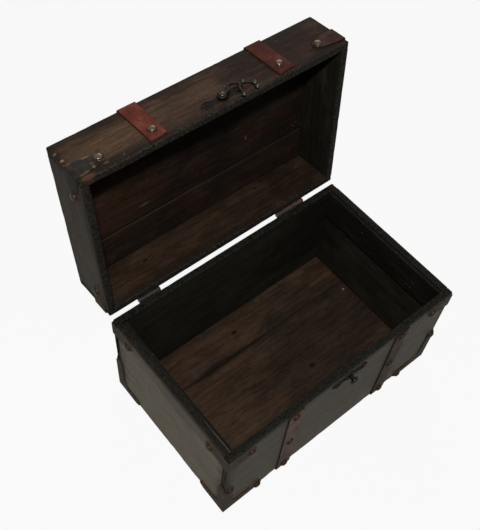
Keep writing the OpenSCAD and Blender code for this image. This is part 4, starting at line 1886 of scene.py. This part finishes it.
    def build(self) -> None:
        """Makes the latch and the keeper."""
        back = self.hook_back
        face = back + self.hook_t
        seat = face + self.gap / 2
        self.plate_and_pins("latch", Body.LID, self.bronze, back - self.gap / 2)
        self.plate_and_pins("keeper", Body.BASE, self.keeper_bronze, 0.0)
        rivet = [(self.rivet_r, 0.0, 0.0), (self.rivet_r, seat, 0.0)]
        rivet += self.domed(self.rivet_head_r, seat, self.rivet_head_h)
        self.turned("latch_rivet", Body.LID, rivet, self.rubbed)
        neck_top = face + self.lip_crown + self.gap
        knob = [(self.neck_r, 0.0, 0.0), (0.92 * self.neck_r, 0.5 * neck_top, 0.1),
                (self.neck_r, neck_top, 0.1)]
        knob += self.domed(self.knob_r, neck_top, self.knob_h - self.brim, self.brim)
        self.turned("keeper_knob", Body.BASE, knob, self.keeper_knob)
        pivot = self.place_of("latch_rivet", Body.LID)
        way = self.place_of("keeper_knob", Body.BASE) - pivot
        swing = next(j for j in frame["joints"] if j["name"] == "hook_swing")
        turn = math.atan2(way.z, way.x) + math.radians(max(swing["range_deg"]))
        stand = face_matrix(pivot + Side.FRONT.out * back, Side.FRONT) @ Matrix.Rotation(turn, 4, "Z")
        piece = self.hook_skin(way.length + self.slack).piece("latch_hook_cast", 60.0)
        piece.data.transform(self.sizes.lid.opened @ stand)
        self.settle(piece, Body.HOOK, "latch_hook", "latch_bronze",
                    self.bronze.material("metal_latch_hook", 5), self.rubbed.material("metal_latch_tips", 6))


@dataclass
class Hinges(Fitting):
    """The two butt hinges on the back."""

    worn_r: float = 0.15 * MM
    grey: Metal = Metal(patina=(0.020, 0.018, 0.016), bare=(0.10, 0.09, 0.08), bare_share=0.3,
                        rust=(0.035, 0.022, 0.016), rust_share=0.6, roughness=0.5, metallic=0.7)
    rusty: Metal = Metal(patina=(0.022, 0.019, 0.015), bare=(0.09, 0.08, 0.065), bare_share=0.3,
                         rust=(0.045, 0.026, 0.018), rust_share=0.7, roughness=0.6, metallic=0.4,
                         patches=(Patch((0.098, 0.095, 0.137), (0.013, 0.03, 0.03),
                                        (0.060, 0.032, 0.017), 0.9),))
    pin: Metal = Metal(patina=(0.08, 0.075, 0.065), bare=(0.3, 0.29, 0.26), bare_share=0.6, roughness=0.4)

    def build(self) -> None:
        """Rounds and dresses each hinge piece."""
        for node, finish, slot in (
            ("left_hinge_base_leaf", self.grey, "hinge_iron"),
            ("left_hinge_lid_leaf", self.grey, "hinge_iron"),
            ("right_hinge_base_leaf", self.rusty, "hinge_iron"),
            ("right_hinge_lid_leaf", self.rusty, "hinge_iron"),
            ("left_hinge_pin", self.pin, "hinge_pin_steel"),
            ("right_hinge_pin", self.pin, "hinge_pin_steel"),
            ("hinge_base_pins", self.grey, "hinge_iron"),
            ("hinge_lid_pins", self.grey, "hinge_iron"),
        ):
            body = Body.LID if "_lid_" in node else Body.BASE
            space = self.sizes.lid.opened if body is Body.LID else Matrix.Identity(4)
            piece = softened(node, f"{node}_worn", self.worn_r, space)
            self.settle(piece, body, node, slot, finish.material(f"metal_{node}", len(node)))


# ---- the carcass ----

FRONT_Y = -0.0925  # the front walls' face
PANEL_Z = 0.1844  # the lid panel's inner face
FLOOR_Z = 0.007  # the floor's upper face
BACK_IN_Y = 0.0849  # the back walls' inner face
END_X = -0.150  # the left walls' face
INNER_DARK = Stain((0.006, 0.0058, 0.004), (0.0145, 0.0135, 0.0095), (0.026, 0.024, 0.017))
LID_SIDE = Stain((0.021, 0.017, 0.0125), (0.047, 0.039, 0.0295), (0.080, 0.066, 0.050))


def base_woods() -> dict[str, Wood]:
    """The woods of the base's walls and battens.

    Returns:
        Each wood by its name.
    """
    # outer stains: stain with a painted sheen in it, lighter and greyer than the inside
    outer_with_sheen = Stain((0.033, 0.027, 0.018), (0.076, 0.063, 0.043), (0.120, 0.101, 0.071))
    outer_end_with_sheen = Stain((0.072, 0.060, 0.041), (0.164, 0.138, 0.096), (0.240, 0.205, 0.146))
    black = Stain((0.003, 0.003, 0.003), (0.0068, 0.0064, 0.006), (0.013, 0.0115, 0.0105))
    # painted shade: the back right inner corner darker
    corner_painted_shade = Patch((0.12, BACK_IN_Y, 0.09), (0.07, 0.05, 0.08), (0.007, 0.0065, 0.0055), 0.7)
    smudge = Patch((0.020, FRONT_Y, 0.075), (0.085, 0.02, 0.07), (0.055, 0.047, 0.033), 0.5)
    # painted shade: the left wall's outside darker towards its top
    end_painted_shade = Patch((END_X, 0.0, 0.130), (0.02, 0.13, 0.028), (0.078, 0.063, 0.042), 0.7)
    # painted highlight: a thin light line along the left wall's worn inner arris
    painted_highlight_line = Patch((-0.1427, -0.069, 0.1357), (0.0007, 0.025, 0.0009), (0.14, 0.105, 0.088), 0.8, True)
    brown_line = Patch((END_X, -0.03, 0.1360), (0.0012, 0.06, 0.0016), (0.055, 0.030, 0.022), 0.7, True)
    return {
        "base_wall": Wood(outer_with_sheen, INNER_DARK, rub_share=0.12, grime_and_shade=0.65, roughness=0.5, contrast=0.8,
                          patches=(corner_painted_shade, smudge)),
        "end_wall": Wood(outer_end_with_sheen, INNER_DARK, rub_share=0.12, grime_and_shade=0.6, roughness=0.5, contrast=0.8,
                         patches=(end_painted_shade, corner_painted_shade, painted_highlight_line, brown_line)),
        "batten": Wood(black, black, rub_share=0.05, grime_and_shade=0.3, specks=0.6),
    }


def floor_woods() -> dict[str, Wood]:
    """The woods of the floor boards.

    Returns:
        Each wood by its name.
    """
    floor = Stain((0.014, 0.008, 0.005), (0.034, 0.021, 0.0135), (0.058, 0.037, 0.024))
    tan_floor = Patch((-0.095, -0.03, FLOOR_Z), (0.05, 0.035, 0.02), (0.052, 0.032, 0.019), 0.5)
    # painted shade: the floor darker over its right part
    floor_painted_shade = Patch((0.065, 0.0, FLOOR_Z), (0.105, 0.09, 0.02), (0.0175, 0.0120, 0.0088), 0.7)
    floor_chip = Patch((0.1355, 0.0277, FLOOR_Z), (0.0013, 0.0010, 0.004), (0.30, 0.26, 0.22), 1.0, True)
    seam = Patch((-0.045, 0.0387, FLOOR_Z), (0.065, 0.0045, 0.01), (0.009, 0.006, 0.004), 0.85)
    common = dict(rub_share=0.2, grime_and_shade=0.35, contrast=0.85, tint_share=0.6)
    return {
        "front_floor": Wood(floor, floor, knots=(Knot((0.0334, -0.0269, FLOOR_Z), 3.0 * MM, 0.5),),
                            specks=0.2, patches=(floor_painted_shade, tan_floor, seam, floor_chip), **common),
        "back_floor": Wood(floor, floor, knots=(Knot((-0.0108, 0.0616, FLOOR_Z), 2.4 * MM),),
                           patches=(floor_painted_shade, seam), **common),
    }


def lid_woods() -> dict[str, Wood]:
    """The woods of the lid's walls.

    Returns:
        Each wood by its name.
    """
    front = Stain((0.012, 0.0068, 0.0048), (0.032, 0.0188, 0.0125), (0.060, 0.038, 0.025))
    inner = Stain((0.004, 0.0038, 0.0028), (0.0100, 0.0092, 0.0066), (0.019, 0.017, 0.012))
    warm = Stain((0.0085, 0.005, 0.0034), (0.0205, 0.0125, 0.0082), (0.037, 0.024, 0.0155))
    rim = (0.0145, 0.0135, 0.0115)
    honey = Patch((-0.100, FRONT_Y, 0.163), (0.055, 0.02, 0.018), (0.072, 0.044, 0.025), 0.55)
    honey_right = Patch((0.0, FRONT_Y, 0.166), (0.045, 0.02, 0.014), (0.055, 0.034, 0.021), 0.4)
    # painted shade: the lid front darker towards its right
    lid_front_painted_shade = Patch((0.095, FRONT_Y, 0.165), (0.085, 0.03, 0.04), (0.014, 0.0078, 0.006), 0.75)
    corner_tan = Patch((-0.141, FRONT_Y, 0.1395), (0.0078, 0.012, 0.003), (0.080, 0.040, 0.025), 0.9, True)
    chips = tuple(Patch((x, FRONT_Y, z), (wide, 0.003, tall), tone, 0.9, True) for x, z, wide, tall, tone in (
        (-0.1485, 0.1787, 0.0019, 0.0014, (0.12, 0.085, 0.06)),
        (-0.1478, 0.1683, 0.0022, 0.0018, (0.16, 0.10, 0.065)),
        (-0.1204, 0.1441, 0.0028, 0.0013, (0.13, 0.075, 0.055)),
    ))
    # painted shade: the lid back wall's inside darker towards the right
    lid_back_painted_shade = Patch((0.06, BACK_IN_Y, 0.16), (0.09, 0.05, 0.03), (0.013, 0.008, 0.0055), 0.5)
    pale_end = Patch((END_X, 0.050, 0.155), (0.02, 0.06, 0.035), (0.068, 0.058, 0.045), 0.6)
    return {
        "lid_wall": Wood(LID_SIDE, inner, rub_share=0.12, grime_and_shade=0.5, rim=rim, patches=(pale_end,)),
        "lid_face": Wood(front, INNER_DARK, rubbed=(0.10, 0.066, 0.040), rub_share=0.3, grime_and_shade=0.75,
                         specks=0.5, arris=(0.050, 0.031, 0.021), rim=rim,
                         patches=(honey, honey_right, lid_front_painted_shade, corner_tan, *chips)),
        "lid_back": Wood(LID_SIDE, warm, rub_share=0.25, grime_and_shade=0.5, rim=rim, patches=(lid_back_painted_shade,),
                         tint=(0.030, 0.014, 0.008), tint_share=0.4,
                         knots=(Knot((-0.085, BACK_IN_Y, 0.168), 2.0 * MM),
                                Knot((0.07, BACK_IN_Y, 0.176), 1.8 * MM))),
    }


def panel_woods() -> dict[str, Wood]:
    """The woods of the lid's two panel boards.

    Returns:
        Each wood by its name.
    """
    high = Stain((0.004, 0.0031, 0.0024), (0.0092, 0.0068, 0.0052), (0.019, 0.0135, 0.0092))
    low = Stain((0.0045, 0.0035, 0.0026), (0.0125, 0.0087, 0.0062), (0.025, 0.0165, 0.0110))
    # painted pool of light: the panel lighter and warmer towards its left
    glow = Patch((-0.100, 0.0, PANEL_Z), (0.070, 0.06, 0.03), (0.026, 0.0135, 0.0078), 0.8)
    # soot and a painted shadow of the lid's front wall: the panel darkened along its front edge
    soot_and_shade = Patch((0.0, -0.0849, PANEL_Z), (0.30, 0.080, 0.010), (0.0020, 0.0018, 0.0016), 0.9)
    seam_line = Patch((-0.05, 0.0424, 0.1845), (0.11, 0.0008, 0.0009), (0.060, 0.036, 0.024), 0.75, True)
    chips = (Patch((-0.068, 0.0255, PANEL_Z), (0.007, 0.0014, 0.004), (0.055, 0.046, 0.041), 0.8, True),
             Patch((0.062, 0.012, PANEL_Z), (0.0014, 0.003, 0.004), (0.075, 0.05, 0.035), 0.85, True))
    common = dict(rub_share=0.15, tint=(0.017, 0.0065, 0.0045), tint_share=0.5)
    return {
        "panel": Wood(LID_SIDE, high, grime_and_shade=0.55, specks=0.35,
                      patches=(glow, soot_and_shade, seam_line, *chips), **common),
        "panel_low": Wood(LID_SIDE, low, grime_and_shade=0.4, specks=0.2, patches=(glow, seam_line), **common),
    }


class Carcass(Fitting):
    """The wooden box itself."""

    def boards(self) -> list[Board]:
        """Every board with its timber.

        Returns:
            The boards; each one's seed is its number.
        """
        woods = base_woods() | floor_woods() | lid_woods() | panel_woods()
        base, lid, x, y = Body.BASE, Body.LID, Grain.X, Grain.Y
        rows = (
            ("base_front_wall", base, x, Side.FRONT, "base_wall", dict(end_r=1.6 * MM)),
            ("base_back_wall", base, x, Side.BACK, "base_wall",
             dict(end_r=2.4 * MM, arris_r=0.6 * MM, nick=0.3 * MM)),
            ("base_left_wall", base, y, Side.LEFT, "end_wall", {}),
            ("base_right_wall", base, y, Side.RIGHT, "end_wall", dict(nick=0.2 * MM)),
            ("floor_board_front", base, x, Side.UNDER, "front_floor", dict(nick=0.8 * MM)),
            ("floor_board_back", base, x, Side.UNDER, "back_floor", dict(nick=0.8 * MM)),
            ("left_batten", base, y, Side.LEFT, "batten", dict(arris_r=0.6 * MM)),
            ("right_batten", base, y, Side.RIGHT, "batten", dict(arris_r=0.6 * MM)),
            ("lid_front_wall", lid, x, Side.FRONT, "lid_face", dict(end_r=1.4 * MM)),
            ("lid_back_wall", lid, x, Side.BACK, "lid_back",
             dict(end_r=1.6 * MM, arris_r=0.5 * MM, nick=0.2 * MM)),
            ("lid_left_wall", lid, y, Side.LEFT, "lid_wall", {}),
            ("lid_right_wall", lid, y, Side.RIGHT, "lid_wall", {}),
            ("lid_board_front", lid, x, Side.TOP, "panel", {}),
            ("lid_board_back", lid, x, Side.TOP, "panel_low", {}),
        )
        return [Board(self.sizes, node, body, grain, side, woods[wood], seed, **shape)
                for seed, (node, body, grain, side, wood, shape) in enumerate(rows, 1)]

    def build(self) -> None:
        """Makes every board and the two loose tongues."""
        boards = self.boards()
        for board in boards:
            board.build()
        dark = Stain((0.003, 0.0024, 0.002), (0.006, 0.0045, 0.0036), (0.010, 0.0075, 0.006))
        hidden = Wood(dark, dark, rub_share=0.0, grime_and_shade=0.3)
        joints = (("floor_board", Body.BASE), ("lid_board", Body.LID))
        for seed, (pair, body) in enumerate(joints, len(boards) + 1):
            LooseTongue(self.sizes, f"{pair}_front", f"{pair}_back", body, hidden, seed).build()


# ---- studio ----


@dataclass(frozen=True)
class Lamp:
    """A square soft light: where it hangs, its side in metres and its power in watts."""

    name: str
    place: Place
    side: float
    power: float

    def hang(self, target: Place) -> None:
        """Adds the light to the scene.

        Args:
            target: What it looks at.
        """
        data = bpy.data.lights.new(self.name, "AREA")
        data.size = self.side
        data.energy = self.power
        light = linked(self.name, data)
        light.location = self.place
        light.rotation_euler = (Vector(target) - Vector(self.place)).to_track_quat("-Z", "Y").to_euler()


@dataclass
class Studio:
    """The pale floor, the soft light and the camera."""

    azimuth: float = -44.21
    elevation: float = 55.09
    roll: float = 6.02
    distance: float = 0.8966
    aside: float = -0.05214
    above: float = 0.11389
    lens: float = 52.53
    sensor: float = 36
    near: float = 0.01
    floor_size: float = 8.0
    floor_tone: Colour = (0.22, 0.22, 0.22)
    floor_roughness: float = 0.9
    floor_glow: float = 0.85
    glow_strength: float = 1.08
    ambient: float = 0.06
    target: Place = (0.0, 0.0, 0.12)
    lamps: tuple[Lamp, ...] = (
        Lamp("key", (-0.39, -0.35, 1.15), 0.055, 12.8),
        Lamp("rear", (1.1, 1.3, 1.0), 0.9, 10),
    )

    @staticmethod
    def seen_white(tree: bpy.types.NodeTree) -> Socket:
        """Finds what the camera, a gloss or a glass sees.

        Args:
            tree: The nodes to add to.

        Returns:
            1 where one of them sees the surface, and 0 elsewhere.
        """
        path = tree.nodes.new("ShaderNodeLightPath")
        total = path.outputs["Is Camera Ray"]
        for ray in ("Is Glossy Ray", "Is Transmission Ray"):
            node = tree.nodes.new("ShaderNodeMath")
            node.operation = "MAXIMUM"
            tree.links.new(total, node.inputs[0])
            tree.links.new(path.outputs[ray], node.inputs[1])
            total = node.outputs[0]
        return total

    def floor(self, z: float) -> None:
        """Lays the floor.

        Args:
            z: Its height.
        """
        mesh = bpy.data.meshes.new("floor")
        h = self.floor_size / 2
        mesh.from_pydata([(-h, -h, z), (h, -h, z), (h, h, z), (-h, h, z)], [], [(0, 1, 2, 3)])
        linked("floor", mesh)
        s = Shader("floor_white")
        mesh.materials.append(s.finish(self.floor_tone, self.floor_roughness, 0.0))
        glow = s.add("ShaderNodeEmission")
        s.put(glow.inputs["Strength"], self.glow_strength)
        blend = s.add("ShaderNodeMixShader")
        s.put(blend.inputs[0], s.times(self.seen_white(s.tree), self.floor_glow))
        s.put(blend.inputs[1], s.surface.outputs[0])
        s.put(blend.inputs[2], glow.outputs[0])
        s.put(s.tree.nodes["Material Output"].inputs["Surface"], blend.outputs[0])

    def world(self) -> None:
        """A white surround to look at, and a plain grey one to be lit by."""
        world = bpy.data.worlds.new("surround")
        bpy.context.scene.world = world
        world.use_nodes = True
        tree = world.node_tree
        background = tree.nodes["Background"]
        background.inputs["Color"].default_value = (1.0, 1.0, 1.0, 1.0)
        strength = tree.nodes.new("ShaderNodeMapRange")
        strength.inputs["To Min"].default_value = self.ambient
        strength.inputs["To Max"].default_value = 1.0
        tree.links.new(self.seen_white(tree), strength.inputs["Value"])
        tree.links.new(strength.outputs["Result"], background.inputs["Strength"])

    def camera(self) -> None:
        """Sets the camera from its bearing, height, roll and distance."""
        az, el, roll = (math.radians(v) for v in (self.azimuth, self.elevation, self.roll))
        back = Vector((math.sin(az) * math.cos(el), -math.cos(az) * math.cos(el), math.sin(el)))
        right = Vector((math.cos(az), math.sin(az), 0))
        up = back.cross(right)
        place = back * self.distance + right * self.aside + up * self.above
        turned_right = right * math.cos(roll) + up * math.sin(roll)
        turned_up = up * math.cos(roll) - right * math.sin(roll)
        data = bpy.data.cameras.new("camera")
        data.lens = self.lens
        data.sensor_width = self.sensor
        data.clip_start = self.near
        camera = linked("camera", data)
        turn = Matrix((turned_right, turned_up, back)).transposed().to_4x4()
        camera.matrix_world = Matrix.Translation(place) @ turn
        bpy.context.scene.camera = camera

    def build(self, floor_z: float) -> None:
        """Sets up the studio.

        Args:
            floor_z: The surface that the box stands on.
        """
        bpy.context.scene.view_settings.view_transform = "Standard"
        self.camera()
        self.floor(floor_z)
        self.world()
        for lamp in self.lamps:
            lamp.hang(self.target)


# ---- leather finishes ----

TONGUE_Y = -0.0937  # the front corner leathers' face


def strap_finishes() -> dict[str, Leather]:
    """The four straps: red on the lid, faded and brown on the base, where their pale tones are partly a
    painted sheen.

    Returns:
        Each strap's leather by its node.
    """
    red = dict(edge=(0.022, 0.008, 0.006), edge_share=0.9, scuff=0.2, scuff_tone=(0.17, 0.075, 0.05),
               gloss=0.04)
    brown = dict(edge=(0.010, 0.008, 0.006), edge_share=0.9, scuff=0.35, gloss=0.03)
    # painted shade: the base straps darker and redder brown where they bend under the bottom
    feet = [Patch((x, -0.0941, 0.010), (0.03, 0.01, 0.018), (0.055, 0.028, 0.018), 0.7)
            for x in (-0.075, 0.075)]
    return {
        "lid_strap_left": Leather((0.052, 0.0135, 0.009), (0.092, 0.0235, 0.0155),
                                  (0.130, 0.040, 0.027), **red),
        "lid_strap_right": Leather((0.030, 0.007, 0.004), (0.057, 0.0132, 0.008),
                                   (0.086, 0.023, 0.0145), **red),
        # the base straps' pale greyish-pink tones are partly a painted sheen
        "base_strap_left": Leather((0.064, 0.041, 0.031), (0.124, 0.084, 0.066), (0.190, 0.134, 0.107),
                                   scuff_tone=(0.16, 0.115, 0.092), patches=(feet[0],), **brown),
        "base_strap_right": Leather((0.022, 0.013, 0.009), (0.044, 0.028, 0.019), (0.070, 0.046, 0.033),
                                    scuff_tone=(0.10, 0.065, 0.048), patches=(feet[1],), **brown),
    }


def front_corner_finishes() -> dict[str, Leather]:
    """The two leathers at the lid's front corners, which wear has set apart.

    Returns:
        Each one's leather by its node.
    """
    chips = (
        Patch((-0.151, -0.0615, 0.1525), (0.01, 0.0065, 0.009), (0.095, 0.055, 0.034), 0.85),
        Patch((-0.131, TONGUE_Y, 0.1592), (0.0048, 0.003, 0.0013), (0.15, 0.085, 0.055), 0.95, True),
        Patch((-0.1315, TONGUE_Y, 0.1445), (0.0016, 0.003, 0.0036), (0.13, 0.08, 0.05), 0.9, True),
        Patch((-0.1309, TONGUE_Y, 0.1498), (0.0022, 0.003, 0.0013), (0.10, 0.05, 0.04), 0.85, True),
        Patch((-0.1467, TONGUE_Y, 0.1608), (0.0022, 0.003, 0.0011), (0.11, 0.06, 0.045), 0.9, True),
        Patch((-0.1205, TONGUE_Y, 0.1523), (0.0065, 0.003, 0.010), (0.034, 0.021, 0.015), 0.75),
    )
    hole = Patch((0.1398, TONGUE_Y, 0.1548), (0.0013, 0.003, 0.0013), (0.006, 0.005, 0.004), 0.9, True)
    sooty = Leather(dark=(0.008, 0.0075, 0.006), middle=(0.018, 0.0165, 0.0135), light=(0.031, 0.027, 0.022),
                    edge=(0.11, 0.065, 0.040), edge_share=0.7, chipped=0.9, scuff=0.15,
                    scuff_tone=(0.06, 0.045, 0.035), patches=chips)
    tan = Leather(dark=(0.017, 0.008, 0.005), middle=(0.035, 0.0165, 0.011), light=(0.060, 0.031, 0.021),
                  edge=(0.012, 0.008, 0.007), edge_share=0.9, scuff=0.3, scuff_tone=(0.10, 0.055, 0.038),
                  patches=(hole,))
    return {"lid_tongue_front_left": sooty, "lid_tongue_front_right": tan}


def tongue_finishes() -> dict[str, Leather]:
    """The corner leathers: one for the base, one for the feet, one for the lid's back, and the front two.

    Returns:
        Each finish by its node; "common" is for all the others.
    """
    common = Leather(dark=(0.020, 0.015, 0.011), middle=(0.044, 0.035, 0.025), light=(0.072, 0.057, 0.041),
                     edge=(0.062, 0.034, 0.022), edge_share=0.6, chipped=0.8, scuff=0.25,
                     scuff_tone=(0.085, 0.055, 0.038))
    foot = Leather(dark=(0.018, 0.0125, 0.009), middle=(0.040, 0.029, 0.021), light=(0.066, 0.049, 0.036),
                   edge=(0.056, 0.028, 0.018), edge_share=0.75, scuff=0.3, scuff_tone=(0.070, 0.038, 0.026))
    lid_back = Leather(dark=(0.014, 0.011, 0.008), middle=(0.034, 0.028, 0.020), light=(0.058, 0.046, 0.033),
                       edge=(0.050, 0.034, 0.020), edge_share=0.6, chipped=0.7, scuff=0.25,
                       scuff_tone=(0.07, 0.05, 0.034))
    finishes = {"common": common} | front_corner_finishes()
    for hand in ("left", "right"):
        finishes[f"lid_tongue_back_{hand}"] = lid_back
        for depth in ("front", "back"):
            finishes[f"foot_leather_{depth}_{hand}"] = foot
    return finishes


def main() -> None:
    logging.basicConfig(level=logging.INFO, format="%(name)s: %(message)s")
    box = Sizes()
    Studio().build(cad_box[0][2])
    Carcass(box).build()
    straps = Straps(box, finishes=strap_finishes())
    straps.build()
    Tongues(box, finishes=tongue_finishes()).build()
    Nails(box).build(straps)
    Latch(box).build()
    Hinges(box).build()


if __name__ == "__main__":
    main()
